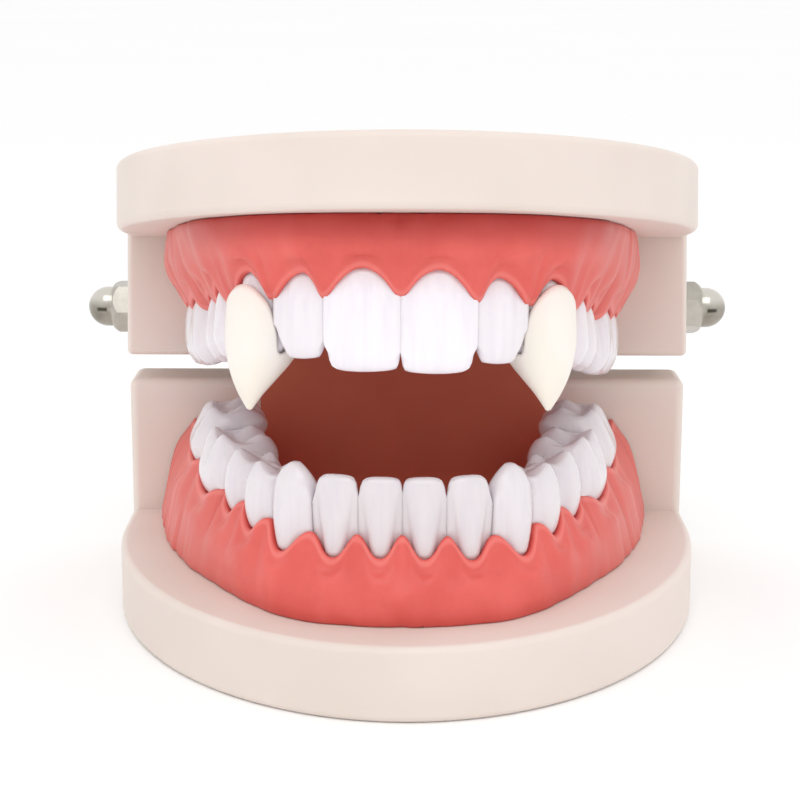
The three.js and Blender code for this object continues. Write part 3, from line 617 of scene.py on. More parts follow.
tongue_top = HINGE.z + BLOCK_DEPTH / 2
tongue = make_block(
    (-TONGUE_WIDTH / 2, BLOCK_FACE, LOWER_PLATE), (TONGUE_WIDTH / 2, rear, tongue_top), 0.0001, segments=1
)
face_outwards(tongue)
top_edges = pick(
    tongue, "EDGE", lambda corners: all(c.z > tongue_top - 0.1 for c in corners)
    and abs(corners[0].x - corners[1].x) > TONGUE_WIDTH / 2,
)
bpy.ops.mesh.bevel(offset=(BLOCK_DEPTH / 2 - 0.05) * MM, segments=24, profile=0.5, affect="EDGES")
bpy.ops.object.mode_set(mode="OBJECT")

combine(lower_base, block, "UNION")
combine(lower_base, tongue, "UNION")
drill(lower_base, HINGE, ROD / 2 + GAP, PLATE_WIDTH)
hand_over(lower_base, "base_with_block", "lower_jaw", cream_plastic, "cream_plastic", 32, "lower_base")
settle_shading(lower_base)
print("tongue edges rounded:", top_edges)

# %% [markdown]
# The upper base is the same plate with two ears that hang down beside the tongue. Their lower rear edge is
# slanted off for the swing. The ears are drawn level, around the rod, and the whole base is then turned open.

# %% Upper base
EAR_DROP = 7.3
EAR_CUT = 5.0
EAR_EDGE = 0.8

upper_half = half - GAP
upper_base = make_plate(upper_half, UPPER_PLATE, 1.0)
upper_base.location = Vector((0, -HINGE.y, HINGE_TO_PLATE)) * MM
choose(upper_base)
bpy.ops.object.transform_apply(location=True, rotation=False, scale=False)
reach = BLOCK_DEPTH / 2
ear_cut = ((0, reach, EAR_CUT - EAR_DROP), (0, 1, -1))
inner = TONGUE_WIDTH / 2 + GAP
for from_x, to_x in ((-half, -inner), (inner, half)):
    ear_top = HINGE_TO_PLATE + UPPER_PLATE / 2
    ear = make_block((from_x, -reach, -EAR_DROP), (to_x, reach, ear_top), EAR_EDGE, [ear_cut])
    combine(upper_base, ear, "UNION")
drill(upper_base, (0, 0, 0), ROD / 2 + GAP, PLATE_WIDTH + 2)
upper_base.matrix_world = upper_jaw
hand_over(upper_base, "base_with_ears", "upper_jaw", cream_plastic, "cream_plastic", 32, "upper_base")
settle_shading(upper_base)

# %% [markdown]
# ## The mouth lining, a sheet of painted shade
# Inside the lower arch lies a brown sheet that runs back and sweeps up the block's face, so the throat looks
# like one dark curve. The sheet is painted shade: it stands for the dark inside of the mouth, where the
# plastic behind the teeth lies in shade. It starts as a disc that is cut in half, its straight edge is pulled
# back and then up, the fold is bevelled into a wide sweep, and Solidify gives the sheet its thickness.

# %% Lining sheet of painted shade
LINING = 1.2
THROAT_WALL = 28.0
SWEEP = 6.0

deselect_all()
bpy.ops.mesh.primitive_circle_add(vertices=96, radius=(TONGUE_WIDTH / 2 - GAP) * MM, fill_type="NGON")
lining = bpy.context.object
bpy.ops.object.mode_set(mode="EDIT")
bpy.ops.mesh.select_all(action="SELECT")
bpy.ops.transform.resize(value=(1, 1.75, 1))
bpy.ops.mesh.bisect(plane_co=(0, 0, 0), plane_no=(0, 1, 0), clear_outer=True)
pick(lining, "EDGE", lambda corners: all(abs(corner.y) < 0.01 for corner in corners))
sheet_front = 8.0
bpy.ops.mesh.extrude_region_move(TRANSFORM_OT_translate={"value": (0, sheet_front * MM, 0)})
bpy.ops.mesh.extrude_region_move(TRANSFORM_OT_translate={"value": (0, 0, (THROAT_WALL + LINING) * MM)})
pick(lining, "EDGE", lambda corners: all(abs(c.y - sheet_front) < 0.01 and abs(c.z) < 0.01 for c in corners))
bpy.ops.mesh.bevel(offset=SWEEP * MM, segments=16, profile=0.5, affect="EDGES")
bpy.ops.object.mode_set(mode="OBJECT")
choose(lining)
wall = lining.modifiers.new("thickness", "SOLIDIFY")
wall.thickness = LINING * MM
wall.offset = 1.0
bpy.ops.object.modifier_apply(modifier="thickness")
lining.location = Vector((0, BLOCK_FACE - GAP - sheet_front, LOWER_PLATE + GAP)) * MM
hand_over(lining, "throat_lining", "lower_jaw", lining_brown, "lining_brown", 40, "mouth_lining")

# %% [markdown]
# ## The dental arches
# Teeth stand along a curve, the arch, from the last molar on the left round to the last one on the right.
# The rows below are the same as in the solids: points of half an arch as shares of its half width and depth,
# and for each tooth its width along the arch, its depth, and how high its neck and biting edge stand.
# The curve goes smoothly through the points, and a table of its length lets a tooth be placed by distance.
# The teeth of this model aren't set perfectly level: towards one side they stand a little lower, by the same
# small share of each millimetre away from the middle.

# %% The arch curve
ARCHES = {
    "lower": {"half_width": 26.9, "depth": 48.9, "out": (0, .2, .394, .543, .672, .777, .914, .978, 1),
              "forward": (1, .994, .962, .886, .756, .62, .384, .164, 0)},
    "upper": {"half_width": 26.5, "depth": 50.6, "out": (0, .16, .323, .521, .683, .766, .826, .913, .974, 1),
              "forward": (1, .997, .983, .93, .8, .662, .527, .334, .15, 0)},
}


def smooth_segment(before, start, end, after, share):
    """A point between start and end on a curve that heads for its neighbours too, so it has no kinks."""
    gaps = [max((b - a).length ** 0.5, 1e-6) for a, b in ((before, start), (start, end), (end, after))]
    leave = (start - before) / gaps[0] - (end - before) / (gaps[0] + gaps[1]) + (end - start) / gaps[1]
    arrive = (end - start) / gaps[1] - (after - start) / (gaps[1] + gaps[2]) + (after - end) / gaps[2]
    leave, arrive = leave * gaps[1], arrive * gaps[1]
    square, cube = share * share, share ** 3
    return (start + leave * share + (3 * (end - start) - 2 * leave - arrive) * square
            + (2 * (start - end) + leave + arrive) * cube)


class Arch:
    def __init__(self, half_width, depth, out, forward):
        right = [Vector((o * half_width, -f * depth)) for o, f in zip(out, forward)]
        points = [Vector((-p.x, p.y)) for p in reversed(right[1:])] + right
        points = [2 * points[0] - points[1]] + points + [2 * points[-1] - points[-2]]
        self.line = []
        for index in range(1, len(points) - 2):
            for step in range(40):
                self.line.append(smooth_segment(*points[index - 1:index + 3], step / 40))
        self.line.append(points[-2])
        self.reached = [0.0]
        for a, b in zip(self.line, self.line[1:]):
            self.reached.append(self.reached[-1] + (b - a).length)
        self.length = self.reached[-1] / 2

    def place(self, distance):
        """The point at a distance from the middle of the arch, and the direction towards the lips there."""
        wanted = min(max(distance + self.length, 0.0), 2 * self.length)
        low, high = 0, len(self.reached) - 1
        while high - low > 1:
            middle = (low + high) // 2
            low, high = (middle, high) if self.reached[middle] <= wanted else (low, middle)
        share = (wanted - self.reached[low]) / (self.reached[high] - self.reached[low])
        point = self.line[low].lerp(self.line[high], share)
        before, after = self.line[max(low - 2, 0)], self.line[min(high + 2, len(self.line) - 1)]
        tangent = (after - before).normalized()
        return point, Vector((tangent.y, -tangent.x))


arches = {jaw: Arch(**rows) for jaw, rows in ARCHES.items()}
print("half arch lengths:", {jaw: round(arch.length, 1) for jaw, arch in arches.items()})

# %% The teeth's sizes and places
TEETH = {
    "lower": [
        ("central_incisor", "lower_incisor", 5.4, 5.6, 8.1, 18.1, 0),
        ("lateral_incisor", "lower_incisor", 5.5, 5.9, 7.9, 18.2, 0),
        ("canine", "canine", 6.1, 7.4, 7.7, 19.0, 0),
        ("first_premolar", "premolar", 7.0, 7.5, 8.6, 17.9, 0),
        ("second_premolar", "premolar", 7.0, 8.0, 9.1, 17.9, 0),
        ("first_molar", "molar", 11.0, 10.0, 9.4, 18.4, 0),
        ("second_molar", "molar", 10.4, 9.8, 11.2, 20.2, 0),
    ],
    "upper": [
        ("central_incisor", "upper_incisor", 8.8, 7.0, 6.7, 19.2, 0),
        ("lateral_incisor", "upper_lateral", 6.1, 6.2, 7.4, 17.8, 0),
        ("canine", "canine", 7.2, 8.0, 7.3, 19.3, 1.6),
        ("first_premolar", "premolar", 6.8, 9.0, 8.8, 18.4, 0),
        ("second_premolar", "premolar", 6.6, 9.0, 9.6, 18.8, 0),
        ("first_molar", "molar", 10.0, 11.0, 10.0, 19.4, 0),
        ("second_molar", "molar", 9.2, 10.8, 10.0, 19.4, 0),
    ],
}
TOUCH = 0.1
NECK_TILT = {"lower": 0.02, "upper": 0.026}
EDGE_TILT = {"lower": 0.005, "upper": 0.026}


class Tooth:
    def __init__(self, row, jaw, side, middle):
        self.name, self.kind, self.width, self.depth, self.neck, self.edge, self.room = row
        self.jaw = jaw
        self.side = side
        self.middle = side * middle
        self.point, self.outward = arches[jaw].place(self.middle)
        self.cap_seat = self.neck
        self.neck -= NECK_TILT[jaw] * self.point.x
        self.edge -= EDGE_TILT[jaw] * self.point.x
        self.crown = self.edge - self.neck
        self.turn = math.atan2(self.outward.x, -self.outward.y)
        self.splay = {1: 0.0, -1: 0.0}

    def frame(self):
        stand = Matrix.Translation(Vector((self.point.x, self.point.y, self.neck)) * MM)
        return stand @ Matrix.Rotation(self.turn, 4, "Z")


OPEN_ROOM = 0.5


def lay_teeth(jaw):
    row = []
    distance = 0.0
    for tooth in TEETH[jaw]:
        for side in (-1, 1):
            row.append(Tooth(tooth, jaw, side, distance + tooth[2] / 2))
        distance += tooth[2] + tooth[6]
    row.sort(key=lambda tooth: tooth.middle)
    for a, b in zip(row, row[1:]):
        if b.middle - a.middle - (a.width + b.width) / 2 > OPEN_ROOM:
            continue
        a.splay[1] = b.splay[-1] = math.tan(abs(b.turn - a.turn) / 2)
    return row


teeth = {jaw: lay_teeth(jaw) for jaw in TEETH}
print("teeth:", {jaw: len(row) for jaw, row in teeth.items()})

# %% [markdown]
# ## A skin from a ball
# Teeth, fangs and gums have no straight edge to pull or bevel, so they are made another way. A ball already
# has what each of them needs: rings of points from one end to the other, and both ends closed in one point.
# Each of its points is laid where a rule for the piece says, column round the ring and row along the piece.
# The rules are plain functions, so a change of a number changes the shape at once.

# %% Lay a ball's points by a rule
def skin(name, columns, rows, rule):
    """rule(column, row) gives a point in mm; row 0 and row rows are the two end points."""
    deselect_all()
    bpy.ops.mesh.primitive_uv_sphere_add(segments=columns, ring_count=rows, radius=1.0)
    piece = bpy.context.object
    piece.name = name
    for vertex in piece.data.vertices:
        column = round(math.atan2(vertex.co.y, vertex.co.x) / (2 * math.pi) * columns) % columns
        row = round(math.acos(max(-1.0, min(1.0, -vertex.co.z))) / math.pi * rows)
        vertex.co = Vector(rule(column, row)) * MM
    return piece


def write_marks(piece, name, marks):
    written = piece.data.attributes.new(name, "FLOAT", "POINT")
    written.data.foreach_set("value", marks)


def read_rows(rows, value):
    """Reads a table by its rising first column, on a smooth curve through its rows. Gives the rest."""
    if value <= rows[0][0]:
        return rows[0][1:]
    if value >= rows[-1][0]:
        return rows[-1][1:]
    index = next(i for i in range(1, len(rows)) if rows[i][0] >= value)
    low, high = rows[index - 1], rows[index]
    before, after = rows[max(index - 2, 0)], rows[min(index + 1, len(rows) - 1)]
    span = high[0] - low[0]
    share = (value - low[0]) / span
    found = []
    for column in range(1, len(low)):
        leave = (high[column] - before[column]) / (high[0] - before[0]) * span
        arrive = (after[column] - low[column]) / (after[0] - low[0]) * span
        rise = high[column] - low[column]
        cube = leave + arrive - 2 * rise
        square = 3 * rise - 2 * leave - arrive
        found.append(low[column] + share * (leave + share * (square + share * cube)))
    return found


def step_between(value, low, high):
    share = min(max((value - low) / (high - low), 0.0), 1.0)
    return share * share * (3 - 2 * share)


print("a value half way up a smooth table of 0, 1, 4:", read_rows([(0, 0), (1, 1), (2, 4)], 1.5))

# %% [markdown]
# ## The crowns
# A tooth's crown is a stack of rounded sections from the neck to the biting end. Front teeth narrow to a
# thin edge with rounded corners, the outer corner rounder than the inner one. A canine ends in a blunt
# point. Premolars have two cusps and molars four, with fissures between them: there the top is the highest
# of several soft cones, one for each cusp, and the fissures form by themselves where the cones meet. Each
# row below is a share of the crown's height, then width and depth as shares of the tooth's, then how far
# the section leans towards the lips. The teeth of such a model are moulded as one bar, so a web closes the
# room between two of them. Each section is therefore wider behind the face that shows, up to where the
# biting edges part. Two teeth on a curve open towards the lips like the leaves of a book, so the web
# reaches to the plane half way between them, and splay is how fast that plane leaves the tooth. The web of
# an upper canine stays short, and there is none behind it, because the cap needs the room.

# %% Sections of the crowns
SECTIONS = {
    "upper_incisor": [(0, .80, .88, 0), (.12, .87, .93, .0), (.3, .95, .93, .02), (.5, .99, .78, .07),
                      (.75, 1.0, .52, .135), (.9, .99, .37, .155), (.97, .955, .27, .16), (1, .90, .17, .16)],
    "upper_lateral": [(0, .70, .88, 0), (.12, .80, .93, .0), (.3, .93, .93, .02), (.5, .95, .78, .07),
                      (.75, .95, .52, .135), (.88, .92, .38, .155), (.96, .84, .28, .16), (1, .73, .18, .16)],
    "lower_incisor": [(0, .56, .86, 0), (.2, .66, .92, .0), (.43, .79, .85, .04), (.64, .89, .62, .1),
                      (.84, .97, .42, .15), (.93, .97, .32, .16), (.98, .92, .24, .16), (1, .85, .15, .16)],
    "canine": [(0, .72, .9, 0), (.15, .84, .97, 0), (.35, .96, .99, .01), (.55, 1.0, .86, .04),
               (.74, .95, .64, .09), (.86, .78, .46, .11), (.95, .5, .28, .11), (1, .22, .16, .10)],
    "premolar": [(0, .76, .84, 0), (.18, .88, .94, .01), (.4, .97, 1.0, .01), (.62, 1.0, .99, 0),
                 (.82, .97, .9, 0), (.94, .89, .76, 0), (1, .78, .64, 0)],
    "molar": [(0, .83, .86, 0), (.18, .92, .95, .01), (.4, .98, 1.0, .01), (.62, 1.0, 1.0, 0),
              (.82, .98, .93, 0), (.94, .92, .82, 0), (1, .83, .71, 0)],
}
SQUARENESS = {"upper_incisor": 2.7, "upper_lateral": 2.4, "lower_incisor": 2.6, "canine": 2.15,
              "premolar": 2.35, "molar": 2.9}
CUSPS = {
    "premolar": {"lower": [(0, -.25, 0), (0, .27, -.9)], "upper": [(0, -.26, 0), (0, .27, -.35)]},
    "molar": {
        "lower": [(-.26, -.27, -.1), (.24, -.27, 0), (-.25, .27, -.35), (.25, .27, -.35)],
        "upper": [(-.25, -.28, 0), (.24, -.28, -.15), (-.25, .26, -.3), (.23, .27, -.55)],
    },
}
CUSP_SLOPE = {"lower": {"premolar": 0.74, "molar": 0.64}, "upper": {"premolar": 0.56, "molar": 0.42}}
CROWN_LEAN = {
    ("lower", "first_molar"): -.08, ("lower", "second_molar"): -.19, ("upper", "first_premolar"): .09,
    ("upper", "second_premolar"): .09, ("upper", "first_molar"): .06, ("upper", "second_molar"): .03,
}
WEB_END = {"upper_incisor": (.84, .93), "upper_lateral": (.86, .95), "lower_incisor": (.84, .92),
           "canine": (.62, .8), "premolar": (.66, .88), "molar": (.7, .9)}
WEB_DEPTH = {"upper_incisor": (-.92, -.66), "upper_lateral": (-.92, -.66), "lower_incisor": (-.62, -.32),
             "canine": (-.7, -.35), "premolar": (-.75, -.45), "molar": (-.85, -.6)}
CAPPED_WEB_END = (.15, .4)
CORNER_DROP = {"central_incisor": (0.35, 0.75), "lateral_incisor": (0.5, 1.15)}


def section_at(tooth, share, turn):
    """A point on a crown's section in the tooth's own frame: x along the arch, -y towards the lips."""
    width, depth, lean = read_rows(SECTIONS[tooth.kind], share)
    lean += CROWN_LEAN.get((tooth.jaw, tooth.name), 0.0) * step_between(share, 0.3, 1.0)
    power = 2 / SQUARENESS[tooth.kind]
    cos, sin = math.cos(turn), math.sin(turn)
    across = math.copysign(abs(sin) ** power, sin)
    y = across * depth * tooth.depth / 2 - lean * tooth.depth
    web = step_between(across, *WEB_DEPTH[tooth.kind]) * (1 - step_between(across, 0.1, 0.6))
    web *= 1 - step_between(share, *(CAPPED_WEB_END if tooth.room else WEB_END[tooth.kind]))
    if tooth.room and cos * tooth.side > 0:
        web = 0.0
    own = abs(cos) ** power * width * (tooth.width + TOUCH) / 2
    shared = (tooth.width + TOUCH) / 2 + tooth.splay[1 if cos > 0 else -1] * max(0.0, -y)
    return math.copysign(own + (shared - own) * web, cos), y


def top_height(tooth, x, y):
    """How far the biting surface of a back tooth lies below its highest cusp, in mm, as a negative number."""
    slope = CUSP_SLOPE[tooth.jaw][tooth.kind]
    soft = 3.2
    total = 0.0
    for along, across, drop in CUSPS[tooth.kind][tooth.jaw]:
        away = math.hypot(x - along * tooth.width * -tooth.side, y - across * tooth.depth)
        cone = drop - slope * (math.sqrt(away * away + 0.16) - 0.4)
        total += math.exp(soft * cone)
    ridge = -1.35 - 1.0 * max(0.0, 0.37 * tooth.width - abs(x))
    total += math.exp(soft * ridge)
    return math.log(total) / soft


# %% One tooth
TOOTH_COLUMNS = 72
TOOTH_ROWS = 44
PEG_ROWS = 5
ROOT_DEPTH = 3.0


def make_tooth(tooth):
    back_tooth = tooth.kind in CUSPS
    wall_rows = 24 if back_tooth else 32
    crown_marks = {}

    def rule(column, row):
        turn = column / TOOTH_COLUMNS * 2 * math.pi
        if row <= PEG_ROWS:
            grow = row / PEG_ROWS
            x, y = section_at(tooth, 0, turn)
            crown_marks[(column, row)] = 0.0
            return x * 0.94 * grow ** 0.4, y * 0.94 * grow ** 0.4, -ROOT_DEPTH * (1 - grow)
        share = min((row - PEG_ROWS) / wall_rows, 1.0)
        x, y = section_at(tooth, share, turn)
        crown_marks[(column, row)] = share
        inwards = max(0.0, (row - PEG_ROWS - wall_rows) / (TOOTH_ROWS - PEG_ROWS - wall_rows))
        reach = 1 - inwards
        if back_tooth:
            if tooth.kind == "molar":
                groove = math.exp(-(x / (0.085 * tooth.width)) ** 2) * step_between(share, 0.25, 0.8)
                y *= 1 - 0.075 * groove
            flat_x, flat_y = x * reach, y * reach
            rim = tooth.crown + top_height(tooth, x, y)
            if inwards > 0:
                return flat_x, flat_y, tooth.crown + top_height(tooth, flat_x, flat_y)
            return x, y, rim * share
        lobes = 0.0
        if y < 0 and tooth.kind != "canine":
            lobes = 0.09 * math.cos(3 * math.pi * x / tooth.width) * math.sin(math.pi * min(share, 0.96))
        if y < 0 and tooth.kind == "canine":
            lobes = 0.22 * math.exp(-(x / (0.16 * tooth.width)) ** 2) * math.sin(math.pi * min(share, 0.96))
        up = tooth.crown * share
        inner, outer = CORNER_DROP.get(tooth.name, (0.0, 0.0))
        at = x / (0.46 * tooth.width)
        corner = outer if at * tooth.side > 0 else inner
        up -= corner * abs(at) ** 5 * step_between(share, 0.55, 1.0) * reach
        lean = -SECTIONS[tooth.kind][-1][3] * tooth.depth
        return x * reach, (y - lean) * reach + lean - lobes * reach, up + 0.12 * (1 - reach * reach)

    piece = skin(tooth.name, TOOTH_COLUMNS, TOOTH_ROWS, rule)
    return piece, crown_marks


# %% [markdown]
# The numbers for the colour have to be written in the order of the mesh's own points, so a helper works out
# which column and row each point came from.

# %% Make all the teeth
def columns_and_rows(columns, rows):
    """The column and row of each point of a ball, in the order in which Blender numbers them."""
    deselect_all()
    bpy.ops.mesh.primitive_uv_sphere_add(segments=columns, ring_count=rows, radius=1.0)
    ball = bpy.context.object
    order = []
    for vertex in ball.data.vertices:
        column = round(math.atan2(vertex.co.y, vertex.co.x) / (2 * math.pi) * columns) % columns
        row = round(math.acos(max(-1.0, min(1.0, -vertex.co.z))) / math.pi * rows)
        order.append((column, row))
    bpy.data.objects.remove(ball)
    return order


# How much painted shade each tooth gets: the lower row and the back teeth are painted duller, for the shade
# they lie in.
PAINTED_SHADE_BY_TOOTH = {
    "lower": {"central_incisor": .46, "lateral_incisor": .43, "canine": .35, "first_premolar": .35,
              "second_premolar": .36, "first_molar": .34, "second_molar": .4},
    "upper": {"central_incisor": 0, "lateral_incisor": .14, "canine": .05, "first_premolar": .22,
              "second_premolar": .25, "first_molar": .28, "second_molar": .3},
}
tooth_order = columns_and_rows(TOOTH_COLUMNS, TOOTH_ROWS)
ARCH_FRAMES = {"lower": lower_arch_frame, "upper": upper_arch_frame}
for jaw, row in teeth.items():
    for tooth in row:
        shown_side = tooth.side if jaw == "lower" else -tooth.side
        side = "right" if shown_side > 0 else "left"
        piece, marks = make_tooth(tooth)
        write_marks(piece, "crown", [marks[key] for key in tooth_order])
        write_marks(piece, "grey", [PAINTED_SHADE_BY_TOOTH[jaw][tooth.name]] * len(tooth_order))
        piece.matrix_world = ARCH_FRAMES[jaw] @ tooth.frame()
        solid = f"{jaw}_{tooth.name}_{side}"
        name = f"{jaw}_{tooth.name}_crown_{side}"
        hand_over(piece, name, f"{jaw}_jaw", tooth_white, "tooth_white", 75, solid)

# %% [markdown]
# ## The gums
# A gum is a rounded ridge along the arch. Cut across, it rises from the plate, swells, curls over at the edge
# round each tooth, crosses the ridge and goes down again on the tongue side. Along the arch the edge runs in
# scallops: low on each tooth, high in the little peaks between two teeth.
# The rule below gives one cross-section for each distance along the arch, as a few guide points that are
# joined by a smooth closed curve.

# %% Gum tables
GUM_FEET = {
    "lower": [(0, 5.9, 5.6), (.2, 5.5, 5.5), (.36, 6, 6), (.55, 7.6, 6.9), (.8, 8.7, 7.6), (1, 9.2, 8.2)],
    "upper": [(0, 5.6, 5.6), (.2, 6.4, 6), (.36, 8, 6.8), (.55, 8.5, 7.6), (.8, 8.1, 8.3), (1, 7.5, 8.0)],
}
GUM_INNER_FOOT = {"lower": 4.4, "upper": 4.2}
GUM_END = {"lower": (3.9, 14.2), "upper": (3.2, 10.6)}
PEAK = {"lower": (2.9, 1.9), "upper": (3.4, 2.3)}
SCALLOP = {"central_incisor": 2.0, "lateral_incisor": 1.7, "canine": 1.6}
LOWEST_SHIFT = {"lateral_incisor": 0.3, "canine": 0.3}
TIP_ROUNDING = 0.24
PALATE = 4.2


def along_teeth(row, value, distance):
    """A measure of the teeth, such as their depth, blended from one tooth's middle to the next."""
    places = [(tooth.middle, value(tooth)) for tooth in row]
    if distance <= places[0][0]:
        return places[0][1]
    for (a, at_a), (b, at_b) in zip(places, places[1:]):
        if distance <= b:
            return at_a + (at_b - at_a) * step_between(distance, a, b)
    return places[-1][1]


def nearest_tooth(row, distance):
    return min(row, key=lambda tooth: abs(distance - tooth.middle) - tooth.width / 2)


def scallop(tooth, off):
    """How far the gum's edge has risen: 0 at a tooth's middle, 1 at the rounded tip between two teeth."""
    if tooth.jaw == "lower":
        return (1 - math.cos(math.pi * off ** 1.15)) / 2
    power = SCALLOP.get(tooth.name, 1.5)
    tip = max(0.0, off - 1 + TIP_ROUNDING)
    return (off ** power - tip * tip * power / (2 * TIP_ROUNDING)) / (1 - power * TIP_ROUNDING / 2)


def face_reach(tooth, distance, up, sign):
    """How far the tooth's face lies from the arch line at this distance and height; sign 1: the lips."""
    width, depth, lean = read_rows(SECTIONS[tooth.kind], min(max(up / tooth.crown, 0.0), 1.0))
    half_width = width * (tooth.width + TOUCH) / 2
    power = SQUARENESS[tooth.kind]
    at = min(abs(distance - tooth.middle) / half_width, 1.0)
    return depth * tooth.depth / 2 * (1 - at ** power) ** (1 / power) + sign * lean * tooth.depth


def soft_max(a, b, softness):
    return 0.5 * (a + b + math.sqrt((a - b) ** 2 + softness ** 2))


# %% One cross-section of a gum
def gum_section(jaw, distance):
    row, arch = teeth[jaw], arches[jaw]
    tooth = nearest_tooth(row, distance)
    off = min(abs(distance - tooth.middle) / (tooth.width / 2), 1.0)
    from_lowest = off
    if jaw == "upper":
        shift = -LOWEST_SHIFT.get(tooth.name, 0.0) * tooth.side
        along = (distance - tooth.middle) / (tooth.width / 2)
        from_lowest = min(abs(along - shift) / (1 - shift * math.copysign(1, along - shift)), 1.0)
    peak = PEAK[jaw][0] + (PEAK[jaw][1] - PEAK[jaw][0]) * step_between(abs(distance) / arch.length, 0.3, 0.55)
    past_last = step_between(abs(distance), row[-1].middle + row[-1].width * 0.45, arch.length)
    rise = scallop(tooth, from_lowest)
    neck = along_teeth(row, lambda t: t.neck, distance)
    end_lips, end_height = GUM_END[jaw]
    edge = neck + peak * rise
    edge += (end_height - edge) * past_last
    neck += (end_height - neck) * past_last
    lips = soft_max(face_reach(tooth, distance, peak * rise, 1), 0.30 * tooth.depth, 0.9)
    lips += (end_lips - lips) * past_last
    tongue = soft_max(face_reach(tooth, distance, peak * rise * 0.8, -1), 0.30 * tooth.depth, 0.9)
    foot, body = read_rows(GUM_FEET[jaw], min(abs(distance) / arch.length, 1.0))
    half_depth = along_teeth(row, lambda t: t.depth, distance) / 2
    root = math.cos(math.pi * off / 2) ** 2
    wave = 0.5 * math.sin(distance * 0.55 + 1.3) + 0.35 * math.sin(distance * 1.27 + 0.4)
    sides = step_between(abs(distance) / arch.length, 0.45, 0.75)
    bands = (math.sin(distance * 1.9 + 0.7) + 0.6 * math.sin(distance * 3.1)) * sides
    frenum = math.exp(-(distance / 1.1) ** 2)
    swell = 0.34 * (root - 0.45) + 0.25 * frenum
    body_out = body + swell + 0.14 * wave + 0.07 * bands
    foot_out = foot + 0.18 * wave + 0.12 * bands - 0.35 * frenum
    upper_edge = lips + 0.25
    inner = half_depth + GUM_INNER_FOOT[jaw]
    outer_side = [
        (lips * 0.55, edge - 0.75), (lips - 0.15, edge - 0.12), (lips + 0.38, edge - 0.02),
        (lips + 0.72, edge - 0.5),
        (max(lips + 0.8, 0.72 * upper_edge + 0.3 * body_out) + 0.1 * swell, edge - 1.5),
        (0.4 * upper_edge + 0.66 * body_out, neck * 0.74), (body_out, neck * 0.5),
        (0.5 * (body_out + foot_out) + 0.1, neck * 0.26), (foot_out, 0.75), (foot_out - 0.3, 0.05),
    ]
    inner_edge = edge - 0.2 * peak * rise
    inner_side = [
        (-(tongue + 0.7), inner_edge - 0.5), (-(tongue + 0.35), inner_edge), (-(tongue - 0.1), inner_edge)
    ]
    if jaw == "upper":
        low_inside = [
            (-(inner + 1.5), 2.0), (-(inner + 1.2), PALATE - 0.2), (-(half_depth + 2.2), neck * 0.72)
        ]
    else:
        low_inside = [(-(inner - 0.4), 0.05), (-inner, 0.8), (-(half_depth + 1.6), neck * 0.55)]
    guides = [(0.0, edge - 0.8)] + outer_side + [(0.0, 0.05)] + low_inside + inner_side
    ridge = 0.5 + 0.5 * max(-1.0, min(1.0, 0.45 * bands + 0.35 * wave + 0.5 * (root - 0.5)))
    return guides, ridge


def closed_curve(guides, steps):
    points = []
    count = len(guides)
    corners = [Vector(guide) for guide in guides]
    for index in range(count):
        around = [corners[(index + shift) % count] for shift in (-1, 0, 1, 2)]
        for step in range(steps):
            points.append(smooth_segment(*around, step / steps))
    return points


# %% [markdown]
# The last sections press flat against the block's face, and the lining takes a strip of room between the two
# sides. The upper gum also carries the palate, so its ridge ends inside that.

# %% Make both gums
GUM_STATIONS = 440
GUIDE_STEPS = 3
# How strong the painted shadow beside each plate is, and how far above the plate it reaches, in mm.
SHADE = {"lower": 0.25, "upper": 0.75}
SHADE_REACH = {"lower": 2.5, "upper": 5.0}


def make_gum(jaw):
    arch = arches[jaw]
    sections = {}
    for row in range(1, GUM_STATIONS):
        distance = (2 * (row - 1) / (GUM_STATIONS - 2) - 1) * arch.length
        guides, ridge = gum_section(jaw, distance)
        sections[row] = (closed_curve(guides, GUIDE_STEPS), ridge, guides, distance)
    sections[0], sections[GUM_STATIONS] = sections[1], sections[GUM_STATIONS - 1]
    columns = len(sections[1][0])
    swings = jaw == "upper"
    lining_half = TONGUE_WIDTH / 2 + (5 if swings else 1) * GAP
    strip = LINING + (6 if swings else 2) * GAP

    def rule(column, row):
        curve, _, guides, distance = sections[row]
        if row in (0, GUM_STATIONS):
            out, up = sum((Vector(g) for g in guides), Vector((0, 0))) / len(guides)
        else:
            out, up = curve[column]
        point, outward = arch.place(distance)
        x, y = point.x + outward.x * out, point.y + outward.y * out
        behind = -strip if abs(x) < lining_half else -0.05
        return x, min(y, behind), max(up, 0.04)

    gum = skin(f"{jaw}_gum", columns, GUM_STATIONS, rule)
    order = columns_and_rows(columns, GUM_STATIONS)
    edge_column = 2 * GUIDE_STEPS
    write_marks(gum, "margin", [1 - min(abs(column - edge_column) / 8, 1) for column, _ in order])
    write_marks(gum, "fold", [sections[row][1] for _, row in order])
    # Painted shadow: darkest close to the plate and towards the front of the arch, fading towards the sides.
    shades = []
    for vertex, (_, row) in zip(gum.data.vertices, order):
        beside_plate = 1 - step_between(vertex.co.z / MM, 0.5, SHADE_REACH[jaw])
        to_side = step_between(abs(sections[row][3]) / arch.length, 0.3, 0.6)
        shades.append(SHADE[jaw] * beside_plate * (1 - to_side))
    write_marks(gum, "shade", shades)
    return gum


lower_gum = make_gum("lower")
lower_gum.matrix_world = lower_arch_frame
hand_over(lower_gum, "lower_gum_flesh", "lower_jaw", gum_pink, "gum_pink", 80, "lower_gum")

# %% [markdown]
# ## The palate
# Seen from below, the roof of the mouth is a shallow vault with a seam down its middle, a small pad behind
# the front teeth and a few wavy cross ridges. A flattened ball gives it: its lower half lies on the plate,
# and its upper half is laid out from the vault's middle to the line of the teeth.

# %% Palate and upper gum
PALATE_COLUMNS = 160
PALATE_ROWS = 72
PALATE_SETBACK = 4.0
vault_middle = Vector((0.0, -22.0))


